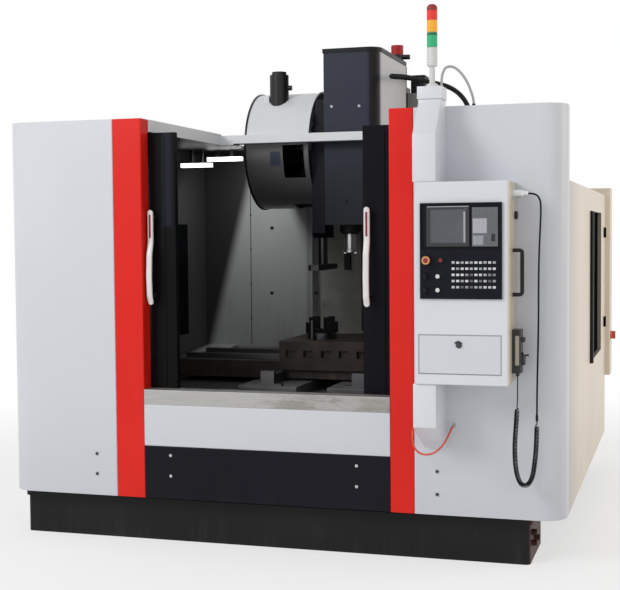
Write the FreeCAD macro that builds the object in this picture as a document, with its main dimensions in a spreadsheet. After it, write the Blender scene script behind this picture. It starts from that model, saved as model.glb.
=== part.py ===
import FreeCAD, Part
import Sketcher
import math
import os
import re

Vector = FreeCAD.Vector
Turn = FreeCAD.Rotation
Place = FreeCAD.Placement

# Machine frame: x to the right from the middle of the front, y to the rear from
# the front panels, z up from the floor. Millimetres. Every node is shifted at the
# end so that the origin lies under the middle of the whole machine.

sizes = dict(
    # outer housing
    half_wide=1525, housing_rear=2900, panel_low=250, panel_high=2288, side_high=1920,
    sheet=3, corner_round=120, front_return=180, side_fold=40, post_deep=90,
    left_post_out=-871, left_post_in=-705, right_post_in=650, right_post_out=776,
    origin_x=34.5, origin_y=1413,
    # sill, lower panel, kick panel
    kick_high=533, sill_low=757, sill_high=836, track_low=803, sill_deep=93, track_rear=148,
    track_left=-1262, track_right=1224,
    # tank, feet
    tank_left=-1477, tank_right=1343, tank_front=100, tank_high=205, ledge_high=227, ledge_out=12,
    foot_radius=60, foot_thick=22, foot_bolt=14, screw_radius=9, screw_head=5,
    # bed and column
    bed_low=60, bed_top=800, bed_front=560, bed_rear=2800, bed_half=500, spindle_x=65,
    spindle_y=1420, column_front=2100, column_top=2600, column_half_low=450, column_half_top=350,
    # ways
    z_motor_x=167, z_motor_y=2300, z_motor_half=55, z_motor_high=210, z_cap_radius=42,
    way_half=270, way_wide=45, way_top=860, way_front=620, way_rear=2050, run_gap=0.3,
    post_way_half=200, post_way_front=2062, post_way_low=1420,
    # saddle and table
    saddle_half=950, saddle_front=870, saddle_rear=1430, saddle_low=812, saddle_top=912,
    cross_way_half=160, cross_way_wide=35, cross_way_top=942,
    table_left=-221, table_long=1300, table_front=850, table_wide=600, table_low=924,
    table_top=1035, slot_wide=18, slot_pitch=100, slot_deep=20, slot_foot=32, slot_foot_high=13,
    core_wide=58, core_high=42, core_pitch=108, core_low=939, core_first=-180, core_deep=25,
    # fixture
    clamp_x=-24, clamp_y=1080, clamp_radius=88, clamp_base=34, jaw_high=131, rod_radius=14, rod_top=1150,
    # doors
    door_front=97, door_thick=40, door_wide=700, door_low=815, door_high=2216,
    left_door_lead=-550, right_door_lead=489, stile=160, pane_low=960, pane_high=2080,
    handle_low=1290, handle_high=1800, handle_wide=32, handle_front=44, left_handle_x=-678,
    right_handle_x=522, grip_thick=18, grip_bow=26, insert_half=11, insert_high=128,
    insert_drop=22, leg_radius=11,
    # roof
    roof_under=2220, roof_rail=46, beam_front=1180, beam_deep=45, beam_low=2223, beam_high=2280,
    # inner walls
    cell_left=-1150, cell_right=1270, cell_rear=2040, floor_high=780, tray_rear=900, tray_front=800,
    left_tray=-920, right_tray=1175, rear_gap_left=-376, rear_gap_right=506,
    lamp_left=-965, lamp_low=2150, lamp_front=1600, low_lamp_left=-1090, low_lamp_low=2105,
    low_lamp_front=1450, lamp_long=240, low_lamp_long=210, lamp_deep=40, lamp_high=26, hanger=20,
    # head
    nose_z=1548, cartridge_low=1663, cartridge_radius=64.5, head_low=1720, cover_top=2770,
    cover_left=-61, cover_right=290, cover_front=1270, cover_rear=2040, cover_round=75,
    lid_thick=26, nose_radius=44, drive_bore=22,
    # magazine
    drum_left=-580, drum_right=-160, drum_y=1640, drum_z=2200, drum_radius=370, drum_skin=4,
    disc_inset=88, axle_radius=28, pot_radius=33, pot_inset=70, pot_long=92, pot_count=24, hub_radius=45,
    window_left=-329, window_right=-191, window_low=2017, window_high=2218,
    drum_motor_x=-405, drum_motor_y=1450, drum_motor_top=2692, drum_motor_radius=60,
    gearbox_left=-160, gearbox_right=-78, gearbox_low=1640, gearbox_high=2335,
    shaft_x=-116, shaft_y=1420, shaft_radius=30, sleeve_radius=40, arm_low=1440, arm_thick=34,
    arm_reach=181, grip_bore=32,
    # pendant
    duct_left=834, duct_right=951, duct_front=-170, duct_low_left=823, duct_low_right=921,
    duct_kink_top=2137, duct_kink_low=2016, duct_cap=2376, duct_top=2314, duct_foot_left=710,
    duct_foot_right=626,
    box_left=842, box_right=1288, box_low=942, box_high=1907, box_front=-280, box_notch=925,
    fascia_left=870, fascia_right=1259, fascia_low=1352, fascia_high=1806, fascia_thick=12,
    fascia_split=1587,
    flap_left=862, flap_right=1253, flap_low=995, flap_high=1179, flap_thick=4, flap_deep=104,
    latch_x=1054, latch_z=1133, latch_bore=9,
    stop_x=903, stop_z=1535, stop_head=20, stop_stem=12, lamp_x=970, push_x=956,
    push_top_z=1459, push_low_z=1394, push_radius=11, knob_x=898, knob_radius=13,
    key_left=1023, key_right=1231, key_low=1403, key_high=1530, key_wide=14, key_tall=11,
    screen_left=902, screen_right=1106, screen_low=1600, screen_high=1792, screen_rim=16,
    plate_left=1119, plate_right=1240, plate_high=1783,
    unit_low=992, unit_high=1200, unit_right=1330, unit_front=-160, unit_rear=-72,
    dial_y=-116, dial_z=1058, dial_stem=8, dial_radius=31,
    grab_low=1358, grab_high=1588, grab_right=1341, grab_front=-138, grab_rear=-116, grab_thick=17,
    lock_y=-60, lock_z=1747, lock_radius=20, plug_y=-120, plug_z=1849, plug_radius=19,
    tower_x=890, tower_y=-80, lens_radius=25, tower_foot=2398, tube_top=2485, green_top=2567,
    amber_top=2640, red_top=2698, tower_top=2776,
    # cabinet
    cabinet_left=780, cabinet_out=35, cabinet_deep=210, cabinet_low=650, cabinet_high=1970,
    cabinet_door=24,
    switch_back=70, switch_z=930, switch_stem=9,
    # side window, inner window, latches
    side_pane_front=1530, side_pane_rear=2500, side_pane_low=870, side_pane_high=1790,
    inner_pane_front=1493, inner_pane_rear=1684, inner_pane_low=1000, inner_pane_high=1736,
    pane_thick=6, latch_front=2735, latch_wide=30, latch_tall=70, latch_upper=1624, latch_lower=1005,
)

doc = FreeCAD.newDocument("MachiningCentre")
sheet = doc.addObject("Spreadsheet::Sheet", "Sizes")
for row, (name, amount) in enumerate(sizes.items(), 1):
    sheet.set("A%d" % row, name)
    sheet.set("B%d" % row, str(amount))
    sheet.setAlias("B%d" % row, name)
doc.recompute()

AXES = {"x": Vector(1, 0, 0), "y": Vector(0, 1, 0), "z": Vector(0, 0, 1)}
TURNS = {"x": Turn(Vector(0, 1, 0), 90), "y": Turn(Vector(1, 0, 0), -90), "z": Turn()}
nodes = []


def bound(text):
    def named(found):
        word = found.group(0)
        return "Sizes." + word if word in sizes else word
    return re.sub(r"[a-z_]+", named, str(text))


def bind(thing, prop, text):
    thing.setExpression(prop, bound(text))


def worth(text):
    names = dict(sizes)
    total = 0.0
    for sign, word in re.findall(r"([+-]?)\s*([a-z_]+|[0-9.]+)", str(text)):
        number = float(names[word]) if word in names else float(word)
        total += -number if sign == "-" else number
    return total


def block(across, along, up):
    box = doc.addObject("Part::Box", "Block")
    for prop, axis, span in (("Length", "x", across), ("Width", "y", along), ("Height", "z", up)):
        bind(box, prop, "(%s)-(%s)" % (span[1], span[0]))
        bind(box, "Placement.Base." + axis, span[0])
    return box


def rod(axis, centre, span, radius):
    bar = doc.addObject("Part::Cylinder", "Rod")
    bar.Placement = Place(Vector(), TURNS[axis])
    bind(bar, "Radius", radius)
    bind(bar, "Height", "(%s)-(%s)" % (span[1], span[0]))
    bind(bar, "Placement.Base." + axis, span[0])
    for other, text in zip([a for a in "xyz" if a != axis], centre):
        bind(bar, "Placement.Base." + other, text)
    return bar


def prism(axis, centre, span, radius, sides):
    bar = doc.addObject("Part::Prism", "Prism")
    bar.Polygon = sides
    bar.Placement = Place(Vector(), TURNS[axis])
    bind(bar, "Circumradius", radius)
    bind(bar, "Height", "(%s)-(%s)" % (span[1], span[0]))
    bind(bar, "Placement.Base." + axis, span[0])
    for other, text in zip([a for a in "xyz" if a != axis], centre):
        bind(bar, "Placement.Base." + other, text)
    return bar


def union(things):
    if len(things) == 1:
        return things[0]
    fused = doc.addObject("Part::MultiFuse", "Union")
    fused.Shapes = things
    fused.Refine = True
    return fused


def minus(base, tools):
    cut = doc.addObject("Part::Cut", "Cut")
    cut.Base = base
    cut.Tool = union(tools)
    return cut


def draw(body, plane, start, loops):
    sketch = body.newObject("Sketcher::SketchObject", "Outline")
    base = [o for o in body.Origin.OriginFeatures if o.Role == plane + "_Plane"][0]
    sketch.AttachmentSupport = (base, [""])
    sketch.MapMode = "FlatFace"
    bind(sketch, "AttachmentOffset.Base.z", ("-(%s)" if plane == "XZ" else "%s") % start)
    for loop in loops:
        first = sketch.GeometryCount
        if loop[0] == "circle":
            sketch.addGeometry(Part.Circle(Vector(5, 5, 0), Vector(0, 0, 1), 5), False)
            for kind, text in (("DistanceX", loop[1]), ("DistanceY", loop[2])):
                number = sketch.addConstraint(Sketcher.Constraint(kind, -1, 1, first, 3, 5))
                bind(sketch, "Constraints[%d]" % number, text)
            number = sketch.addConstraint(Sketcher.Constraint("Radius", first, 5))
            bind(sketch, "Constraints[%d]" % number, loop[3])
            continue
        count = len(loop)
        angles = [2 * math.pi * k / count for k in range(count)]
        points = [Vector(10 * math.cos(a), 10 * math.sin(a), 0) for a in angles]
        for k in range(count):
            sketch.addGeometry(Part.LineSegment(points[k], points[(k + 1) % count]), False)
        for k in range(count):
            follow = first + (k + 1) % count
            sketch.addConstraint(Sketcher.Constraint("Coincident", first + k, 2, follow, 1))
        for k, corner in enumerate(loop):
            for kind, text, now in (("DistanceX", corner[0], points[k].x),
                                    ("DistanceY", corner[1], points[k].y)):
                made = Sketcher.Constraint(kind, -1, 1, first + k, 1, now)
                number = sketch.addConstraint(made)
                bind(sketch, "Constraints[%d]" % number, text)
    return sketch


def rect(across, up):
    return [(across[0], up[0]), (across[1], up[0]), (across[1], up[1]), (across[0], up[1])]


def new_body():
    body = doc.addObject("PartDesign::Body", "Body")
    body.AllowCompound = True
    return body


def solid(plane, span, loops):
    body = new_body()
    pad = body.newObject("PartDesign::Pad", "Pad")
    pad.Profile = draw(body, plane, span[0], loops)
    pad.Reversed = plane == "XZ"
    bind(pad, "Length", "(%s)-(%s)" % (span[1], span[0]))
    body.Tip = pad
    doc.recompute()
    return body


def add(body, plane, span, loops):
    pad = body.newObject("PartDesign::Pad", "Pad")
    pad.Profile = draw(body, plane, span[0], loops)
    pad.Reversed = plane == "XZ"
    bind(pad, "Length", "(%s)-(%s)" % (span[1], span[0]))
    body.Tip = pad
    doc.recompute()
    return pad


def hollow(body, plane, span, loops):
    before = body.Shape.Volume
    pocket = body.newObject("PartDesign::Pocket", "Pocket")
    pocket.Profile = draw(body, plane, span[0], loops)
    pocket.Reversed = plane != "XZ"
    bind(pocket, "Length", "(%s)-(%s)" % (span[1], span[0]))
    body.Tip = pocket
    doc.recompute()
    if body.Shape.Volume >= before - 1:
        raise RuntimeError("a pocket cut nothing: %s" % span[0])
    return pocket


def chosen_edges(shape, axis, test):
    found = []
    for number, edge in enumerate(shape.Edges, 1):
        if len(edge.Vertexes) < 2:
            continue
        run = edge.Vertexes[1].Point - edge.Vertexes[0].Point
        if run.Length < 1e-6:
            continue
        run.normalize()
        if axis == "outline":
            lined_up = abs(run.x) < 1e-6
        else:
            lined_up = abs(abs(run.dot(AXES[axis])) - 1) < 1e-6
        if lined_up and test(edge.CenterOfMass):
            found.append("Edge%d" % number)
    return found


def soften(body, axis, test, radius, kind="Fillet"):
    last = body.Tip
    dressed = body.newObject("PartDesign::" + kind, kind)
    found = chosen_edges(last.Shape, axis, test)
    if not found:
        raise RuntimeError("no edge to soften")
    dressed.Base = (last, found)
    bind(dressed, "Radius" if kind == "Fillet" else "Size", radius)
    body.Tip = dressed
    doc.recompute()
    if "Invalid" in dressed.State:
        raise RuntimeError("a %s failed" % kind)
    return dressed


def shell(body, axis, place, thick="sheet"):
    last = body.Tip
    faces = []
    for number, face in enumerate(last.Shape.Faces, 1):
        flat = face.Surface.TypeId == "Part::GeomPlane"
        middle = getattr(face.CenterOfMass, axis)
        if flat and abs(abs(face.normalAt(0, 0).dot(AXES[axis])) - 1) < 1e-6:
            if abs(middle - worth(place)) < 0.01:
                faces.append("Face%d" % number)
    thin = body.newObject("PartDesign::Thickness", "Thickness")
    thin.Base = (last, faces)
    bind(thin, "Value", thick)
    thin.Mode = 0
    thin.Join = 0
    thin.Reversed = True
    body.Tip = thin
    doc.recompute()
    if "Invalid" in thin.State:
        raise RuntimeError("a shell failed")
    return thin


def repeat(body, steps):
    last = body.Tip
    many = body.newObject("PartDesign::MultiTransform", "Rows")
    many.Originals = [last]
    rows = []
    for axis, length, count in steps:
        row = body.newObject("PartDesign::LinearPattern", "Row")
        line = [o for o in body.Origin.OriginFeatures if o.Role == axis.upper() + "_Axis"][0]
        row.Direction = (line, [""])
        bind(row, "Length", length)
        row.Occurrences = count
        rows.append(row)
    many.Transformations = rows
    body.Tip = many
    doc.recompute()
    return many


def turned(axis, centre, start, outline):
    # outline: (radius, distance along the axis) pairs, turned about that axis
    body = new_body()
    spin = body.newObject("PartDesign::Revolution", "Revolution")
    sketch = draw(body, "XZ", "0", [outline])
    spin.Profile = sketch
    spin.ReferenceAxis = (sketch, ["V_Axis"])
    spin.Angle = 360
    body.Tip = spin
    body.Placement = Place(Vector(), TURNS[axis])
    bind(body, "Placement.Base." + axis, start)
    for other, text in zip([a for a in "xyz" if a != axis], centre):
        bind(body, "Placement.Base." + other, text)
    doc.recompute()
    return body


def node(label, *things):
    group = doc.addObject("Part::Compound", "Node")
    group.Links = list(things)
    group.Label = label
    bind(group, "Placement.Base.x", "-origin_x")
    bind(group, "Placement.Base.y", "-origin_y")
    nodes.append(group)
    return group


def sheet_part(name, solids):
    feature = doc.addObject("Part::Feature", name)
    feature.Shape = solids
    return feature


# ---- tank, feet and fasteners ------------------------------------------------

tank = solid("XY", ("0", "tank_high"), [rect(("tank_left", "tank_right"), ("tank_front", "bed_front"))])
soften(tank, "z", lambda c: c.y < 101, "25")
tank_lid = solid("XY", ("tank_high", "ledge_high"),
                 [rect(("tank_left-ledge_out", "tank_right+ledge_out"),
                       ("tank_front-ledge_out", "bed_front"))])
soften(tank_lid, "z", lambda c: c.y < 100, "30")
hollow(tank_lid, "XY", ("tank_high+4", "ledge_high"),
       [rect(("tank_left+20", "tank_right-20"), ("tank_front+20", "bed_front-20"))])
tank_plugs = [prism("x", (y, z), ("tank_right", "tank_right+26"), "16", 6)
              for y, z in (("180", "95"), ("180", "150"), ("300", "95"))]
node("coolant_tank", tank, tank_lid, *tank_plugs)

feet = []
for y in ("bed_front+90", "bed_front+800", "bed_rear-640", "bed_rear-90"):
    for x in ("spindle_x-bed_half+90", "spindle_x+bed_half-90"):
        pad = prism("z", (x, y), ("0", "foot_thick"), "foot_radius", 12)
        stem = prism("z", (x, y), ("foot_thick", "bed_low"), "foot_bolt", 6)
        feet += [pad, stem]
screws = []
for x, z in (("-990", "477"), ("-990", "367"), ("-554", "486"), ("-554", "375"),
             ("475", "479"), ("475", "372"), ("893", "470"), ("893", "354")):
    screws.append(prism("y", (x, z), ("-screw_head", "0"), "screw_radius", 6))
node("feet_and_bolts", *(feet + screws))

# ---- bed and column ----------------------------------------------------------

bed = solid("XZ", ("bed_front", "bed_rear"), [[
    ("spindle_x-bed_half", "bed_low"), ("spindle_x+bed_half", "bed_low"),
    ("spindle_x+bed_half", "bed_top-130"), ("spindle_x+bed_half-60", "bed_top-90"),
    ("spindle_x+bed_half-60", "bed_top"),
    ("spindle_x-bed_half+60", "bed_top"), ("spindle_x-bed_half+60", "bed_top-90"),
    ("spindle_x-bed_half", "bed_top-130")]])
for x in ("spindle_x-bed_half", "spindle_x+bed_half-70"):
    hollow(bed, "YZ", (x, x + "+70"),
           [rect(("bed_front+%d" % a, "bed_front+%d" % b), ("bed_low+130", "bed_top-240"))
            for a, b in ((150, 620), (700, 1170), (1250, 1720), (1800, 2130))])
hollow(bed, "YZ", ("spindle_x-90", "spindle_x+90"),
       [rect(("bed_front", "bed_front+1500"), ("bed_top-60", "bed_top"))])
soften(bed, "x", lambda c: c.y < 561 and c.z > 799, "8", "Chamfer")
node("bed", bed)

column = solid("XZ", ("column_front", "bed_rear"), [[
    ("spindle_x-column_half_low", "bed_top"), ("spindle_x+column_half_low", "bed_top"),
    ("spindle_x+column_half_top", "column_top"), ("spindle_x-column_half_top", "column_top")]])
hollow(column, "YZ", ("spindle_x-column_half_low", "spindle_x+column_half_low"),
       [[("bed_rear", "bed_top+220"), ("bed_rear", "column_top"), ("bed_rear-260", "column_top")]])
hollow(column, "XZ", ("column_front", "column_front+200"),
       [rect(("spindle_x-110", "spindle_x+110"), ("bed_top+200", "column_top-60"))])
node("column", column)

ways = []
for side in ("-", "+"):
    mid = "spindle_x%sway_half" % side
    ways.append(solid("XZ", ("way_front", "way_rear"), [[
        (mid + "-way_wide/2", "bed_top"), (mid + "+way_wide/2", "bed_top"),
        (mid + "+way_wide/2", "bed_top+18"), (mid + "+way_wide/2-6", "bed_top+26"),
        (mid + "+way_wide/2-6", "way_top-22"), (mid + "+way_wide/2", "way_top-14"),
        (mid + "+way_wide/2", "way_top"), (mid + "-way_wide/2", "way_top"),
        (mid + "-way_wide/2", "way_top-14"), (mid + "-way_wide/2+6", "way_top-22"),
        (mid + "-way_wide/2+6", "bed_top+26"), (mid + "-way_wide/2", "bed_top+18")]]))
    ways.append(block((mid + "-85", mid + "+85"), ("way_front-45", "way_front"), ("bed_top", "bed_top+14")))
    ways.append(block((mid + "-40", mid + "+40"), ("way_front-38", "way_front"),
                      ("bed_top+14", "way_top+24")))
    post = "spindle_x%spost_way_half" % side
    ways.append(solid("XY", ("post_way_low", "column_top"), [[
        (post + "-20", "column_front"), (post + "-20", "column_front-10"),
        (post + "-14", "column_front-16"), (post + "-14", "post_way_front+14"),
        (post + "-20", "post_way_front+8"), (post + "-20", "post_way_front"),
        (post + "+20", "post_way_front"), (post + "+20", "post_way_front+8"),
        (post + "+14", "post_way_front+14"), (post + "+14", "column_front-16"),
        (post + "+20", "column_front-10"), (post + "+20", "column_front")]]))
node("guide_rails", *ways)

y_motor = union([block(("spindle_x-65", "spindle_x+65"), ("bed_front-190", "bed_front-30"), ("560", "690")),
                 block(("spindle_x-80", "spindle_x+80"), ("bed_front-30", "bed_front"), ("540", "710")),
                 block(("spindle_x-45", "spindle_x+45"), ("bed_front-240", "bed_front-190"), ("580", "670")),
                 rod("z", ("spindle_x+25", "bed_front-215"), ("670", "700"), "15")])
z_flange = block(("z_motor_x-z_motor_half-20", "z_motor_x+z_motor_half+20"),
                 ("z_motor_y-z_motor_half-20", "z_motor_y+z_motor_half+20"), ("column_top", "column_top+60"))
z_case = block(("z_motor_x-z_motor_half", "z_motor_x+z_motor_half"),
               ("z_motor_y-z_motor_half", "z_motor_y+z_motor_half"),
               ("column_top+60", "column_top+z_motor_high"))
z_cap = rod("z", ("z_motor_x", "z_motor_y"), ("column_top+z_motor_high", "column_top+z_motor_high+140"),
            "z_cap_radius")
z_plug = rod("x", ("z_motor_y", "column_top+z_motor_high+60"), ("z_motor_x+30", "z_motor_x+88"), "17")
z_motor = union([z_flange, z_case, z_cap, z_plug])

# ---- outer housing -----------------------------------------------------------

left_front = solid("XZ", ("0", "front_return"),
                   [rect(("-half_wide", "left_post_out"), ("panel_low", "panel_high"))])
soften(left_front, "z", lambda c: c.x < -1500 and c.y < 1, "corner_round")
soften(left_front, "z", lambda c: c.x > -900 and c.y < 1, "6")
shell(left_front, "y", "front_return")
hollow(left_front, "YZ", ("left_post_out-5", "left_post_out+5"),
       [rect(("post_deep", "front_return+1"), ("panel_low+40", "panel_high-40"))])
node("left_front_panel", left_front)

right_front = solid("XZ", ("0", "front_return"),
                    [rect(("right_post_out", "half_wide"), ("panel_low", "panel_high"))])
soften(right_front, "z", lambda c: c.x > 1500 and c.y < 1, "corner_round")
soften(right_front, "z", lambda c: c.x < 900 and c.y < 1, "6")
shell(right_front, "y", "front_return")
hollow(right_front, "YZ", ("right_post_out-5", "right_post_out+5"),
       [rect(("post_deep", "front_return+1"), ("panel_low+40", "panel_high-40"))])
node("right_front_panel", right_front)

posts = []
for inner, outer in (("left_post_out", "left_post_in"), ("right_post_in", "right_post_out")):
    post = solid("XZ", ("0", "post_deep"), [rect((inner, outer), ("panel_low", "panel_high"))])
    soften(post, "z", lambda c: c.y < 1, "8")
    shell(post, "y", "post_deep")
    posts.append(post)
node("red_posts", *posts)

lower_front = solid("XZ", ("0", "side_fold"),
                    [rect(("left_post_in", "right_post_in"), ("kick_high", "sill_low"))])
soften(lower_front, "x", lambda c: c.y < 1, "5")
shell(lower_front, "y", "side_fold")
node("lower_front_panel", lower_front)

kick = solid("XZ", ("0", "side_fold"),
             [rect(("left_post_in", "right_post_in"), ("panel_low", "kick_high"))])
soften(kick, "x", lambda c: c.y < 1, "5")
shell(kick, "y", "side_fold")
node("kick_panel", kick)

sill = solid("YZ", ("left_post_in", "right_post_in"), [[
    ("0", "sill_low"), ("sheet", "sill_low"), ("sheet", "sill_high-sheet"),
    ("sill_deep-sheet", "sill_high-sheet"), ("sill_deep-sheet", "track_low"),
    ("sill_deep", "track_low"), ("sill_deep", "sill_high"), ("0", "sill_high")]])
soften(sill, "x", lambda c: c.y < 0.5 and c.z > 830, "2.5")
track = solid("YZ", ("track_left", "track_right"), [[
    ("sill_deep", "track_low"), ("track_rear", "track_low"), ("track_rear", "track_low+sheet"),
    ("sill_deep", "track_low+sheet")]])
apron = solid("YZ", ("cell_left", "cell_right"), [[
    ("track_rear", "track_low"), ("bed_front", "track_low-31"), ("bed_front", "track_low-28"),
    ("track_rear", "track_low+sheet")]])
node("door_sill", sill, track, apron)

sides = []
for side, low, high in ((-1, "-half_wide", "-half_wide+side_fold"),
                        (1, "half_wide-side_fold", "half_wide")):
    loops = [rect(("front_return", "housing_rear"), ("panel_low", "side_high"))]
    if side > 0:
        loops.append(rect(("side_pane_front", "side_pane_rear"), ("side_pane_low", "side_pane_high")))
    wall = solid("YZ", (low, high), loops)
    shell(wall, "x", high if side < 0 else low)
    sides.append(wall)
sides.append(block(("-half_wide+side_fold", "cell_left-sheet"), ("front_return", "housing_rear"),
                   ("side_high-sheet", "side_high")))
sides.append(block(("cell_right+sheet", "half_wide-side_fold"), ("front_return", "housing_rear"),
                   ("side_high-sheet", "side_high")))
for low, high in (("-half_wide+side_fold", "spindle_x-bed_half"),
                  ("spindle_x+bed_half", "half_wide-side_fold")):
    back = solid("XZ", ("housing_rear-side_fold", "housing_rear"),
                 [rect((low, high), ("panel_low", "side_high-sheet"))])
    shell(back, "y", "housing_rear-side_fold")
    sides.append(back)
sides.append(block(("spindle_x-bed_half", "spindle_x+bed_half"), ("housing_rear-sheet", "housing_rear"),
                   ("panel_low", "side_high-sheet")))
sides.append(block(("cell_left-sheet", "spindle_x-column_half_top-60"), ("cell_rear+sheet", "housing_rear"),
                   ("side_high-sheet", "side_high")))
sides.append(block(("spindle_x+column_half_top+60", "cell_right+sheet"), ("cell_rear+sheet", "housing_rear"),
                   ("side_high-sheet", "side_high")))
node("side_panels", *sides)

side_window = solid("YZ", ("half_wide-30", "half_wide-24"),
                    [rect(("side_pane_front", "side_pane_rear"), ("side_pane_low", "side_pane_high"))])
window_bar = block(("half_wide-24", "half_wide+8"), ("side_pane_front", "side_pane_front+28"),
                   ("side_pane_low", "side_pane_high"))
latches = [block(("half_wide", "half_wide+16"), ("latch_front", "latch_front+latch_wide"),
                 (low, low + "+latch_tall")) for low in ("latch_upper", "latch_lower")]
inner_pane = block(("cell_left", "cell_left+pane_thick"), ("inner_pane_front", "inner_pane_rear"),
                   ("inner_pane_low", "inner_pane_high"))
node("side_window", side_window, window_bar, inner_pane, *latches)

# ---- inner walls, trays, roof, lamps -----------------------------------------

walls = [block(("cell_left-sheet", "cell_left"), ("track_rear+10", "cell_rear"),
               ("floor_high-60", "roof_under")),
         block(("cell_right", "cell_right+sheet"), ("track_rear+10", "cell_rear"),
               ("floor_high-60", "roof_under")),
         block(("cell_left-sheet", "rear_gap_left"), ("cell_rear", "cell_rear+sheet"),
               ("floor_high-60", "roof_under")),
         block(("rear_gap_right", "cell_right+sheet"), ("cell_rear", "cell_rear+sheet"),
               ("floor_high-60", "roof_under"))]
for low, high in (("cell_left", "left_tray"), ("right_tray", "cell_right")):
    tray = solid("YZ", (low, high), [[
        ("bed_front", "floor_high"), ("cell_rear", "floor_high"), ("cell_rear", "tray_rear"),
        ("bed_front", "tray_front")]])
    shell(tray, "z", "floor_high")
    walls.append(tray)
for low, high in (("left_tray", "spindle_x-bed_half+60"), ("spindle_x+bed_half-60", "right_tray")):
    walls.append(block((low, high), ("bed_front", "cell_rear"), ("floor_high", "floor_high+sheet")))
node("inner_walls", *walls)

roof = []
for low, high in (("left_post_in-40", "left_post_in+6"), ("right_post_in-6", "right_post_in+40")):
    roof.append(solid("XZ", ("post_deep", "beam_front"), [
        rect((low, high), ("beam_low", "panel_high")),
        rect((low + "+sheet", high + "-sheet"), ("beam_low+sheet", "panel_high-sheet"))]))
beam = solid("YZ", ("cell_left", "cell_right"), [
    rect(("beam_front", "beam_front+beam_deep"), ("beam_low", "beam_high")),
    rect(("beam_front+sheet", "beam_front+beam_deep-sheet"), ("beam_low+sheet", "beam_high-sheet"))])
roof.append(beam)
for low, high in (("cell_left-sheet", "left_post_in+6"), ("right_post_in-6", "cell_right+sheet")):
    roof.append(block((low, high), ("track_rear+10", "beam_front"), ("roof_under", "beam_low")))
for low, high in (("cell_left-sheet", "drum_left-20"), ("cover_right+20", "cell_right+sheet")):
    roof.append(block((low, high), ("beam_front", "cell_rear+sheet"), ("roof_under", "beam_low")))
for low, high in (("track_left", "left_post_in"), ("right_post_in", "track_right")):
    roof.append(block((low, high), ("post_deep", "track_rear"), ("roof_under", "beam_low")))
node("roof_frame", *roof)

lamps = []
for left, long, y, z in (("lamp_left", "lamp_long", "lamp_front", "lamp_low"),
                         ("low_lamp_left", "low_lamp_long", "low_lamp_front", "low_lamp_low")):
    lamps.append(block((left, left + "+" + long), (y, y + "+lamp_deep"), (z, z + "+lamp_high")))
    for start in (left + "+60", left + "+" + long + "-80"):
        lamps.append(block((start, start + "+hanger"), (y + "+8", y + "+8+hanger"),
                           (z + "+lamp_high", "roof_under")))
node("work_lamps", *lamps)

# ---- doors -------------------------------------------------------------------

doors = (("left", "left_door_lead-door_wide", "left_door_lead", "left_handle_x",
          "left_door_lead-door_wide+60", "left_door_lead-stile"),
         ("right", "right_door_lead", "right_door_lead+door_wide", "right_handle_x",
          "right_door_lead+stile", "right_door_lead+door_wide-60"))
for side, low, high, handle_x, pane_left, pane_right in doors:
    leaf = solid("XZ", ("door_front", "door_front+door_thick"), [
        rect((low, high), ("door_low", "door_high")),
        rect((pane_left, pane_right), ("pane_low", "pane_high"))])
    lead = (lambda c: c.x > -560) if side == "left" else (lambda c: c.x < 495)
    soften(leaf, "z", lead, "6")
    hollow(leaf, "XZ", ("door_front", "door_front+8"),
           [rect((pane_left + "-14", pane_right + "+14"), ("pane_low-14", "pane_high+14"))])
    if side == "left":
        ridge = ("left_door_lead-119", "left_door_lead-60")
    else:
        ridge = ("right_door_lead+60", "right_door_lead+119")
    trim = solid("XZ", ("door_front-4", "door_front"), [rect(ridge, ("door_low+30", "door_high-30"))])
    soften(trim, "z", lambda c: c.y < 94, "2")
    shoes = [block((low + off, low + off + "+70"), ("door_front+6", "door_front+door_thick-6"),
                   ("track_low+sheet+run_gap", "door_low")) for off in ("+70", "+door_wide-140")]
    node(side + "_door", leaf, trim, *shoes)
    pane = solid("XZ", ("door_front+2", "door_front+8"),
                 [rect((pane_left + "-14", pane_right + "+14"), ("pane_low-14", "pane_high+14"))])
    node(side + "_window", pane)
    seat = "door_front-4" if side == "left" else "door_front"
    grip = solid("YZ", (handle_x + "-handle_wide/2", handle_x + "+handle_wide/2"), [[
        ("handle_front", "handle_high"), ("handle_front", "handle_high-160"),
        ("handle_front-grip_bow+5", "handle_low+250"), ("handle_front-grip_bow", "handle_low+150"),
        ("handle_front-grip_bow+5", "handle_low+60"), ("handle_front-4", "handle_low"),
        ("handle_front+8", "handle_low"), ("handle_front-grip_bow+grip_thick+4", "handle_low+66"),
        ("handle_front-grip_bow+grip_thick", "handle_low+150"),
        ("handle_front-grip_bow+grip_thick+5", "handle_low+246"),
        ("handle_front+grip_thick", "handle_high-164"), ("handle_front+grip_thick", "handle_high")]])
    soften(grip, "outline", lambda c: c.y < worth("handle_front+1"), "3.5")
    pocket = (handle_x + "-insert_half", handle_x + "+insert_half")
    pocket_up = ("handle_high-insert_drop-insert_high", "handle_high-insert_drop")
    hollow(grip, "XZ", ("handle_front-1", "handle_front+3"), [rect(pocket, pocket_up)])
    insert = solid("XZ", ("handle_front+1", "handle_front+3"), [rect(pocket, pocket_up)])
    upper_leg = rod("y", (handle_x, "handle_high-40"), ("handle_front+grip_thick-2", seat), "leg_radius")
    lower_leg = rod("y", (handle_x, "handle_low+50"), ("handle_front-grip_bow+12", seat), "leg_radius")
    node(side + "_handle", union([grip, upper_leg, lower_leg]), insert)

# ---- saddle, table and fixture -------------------------------------------------

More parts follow.
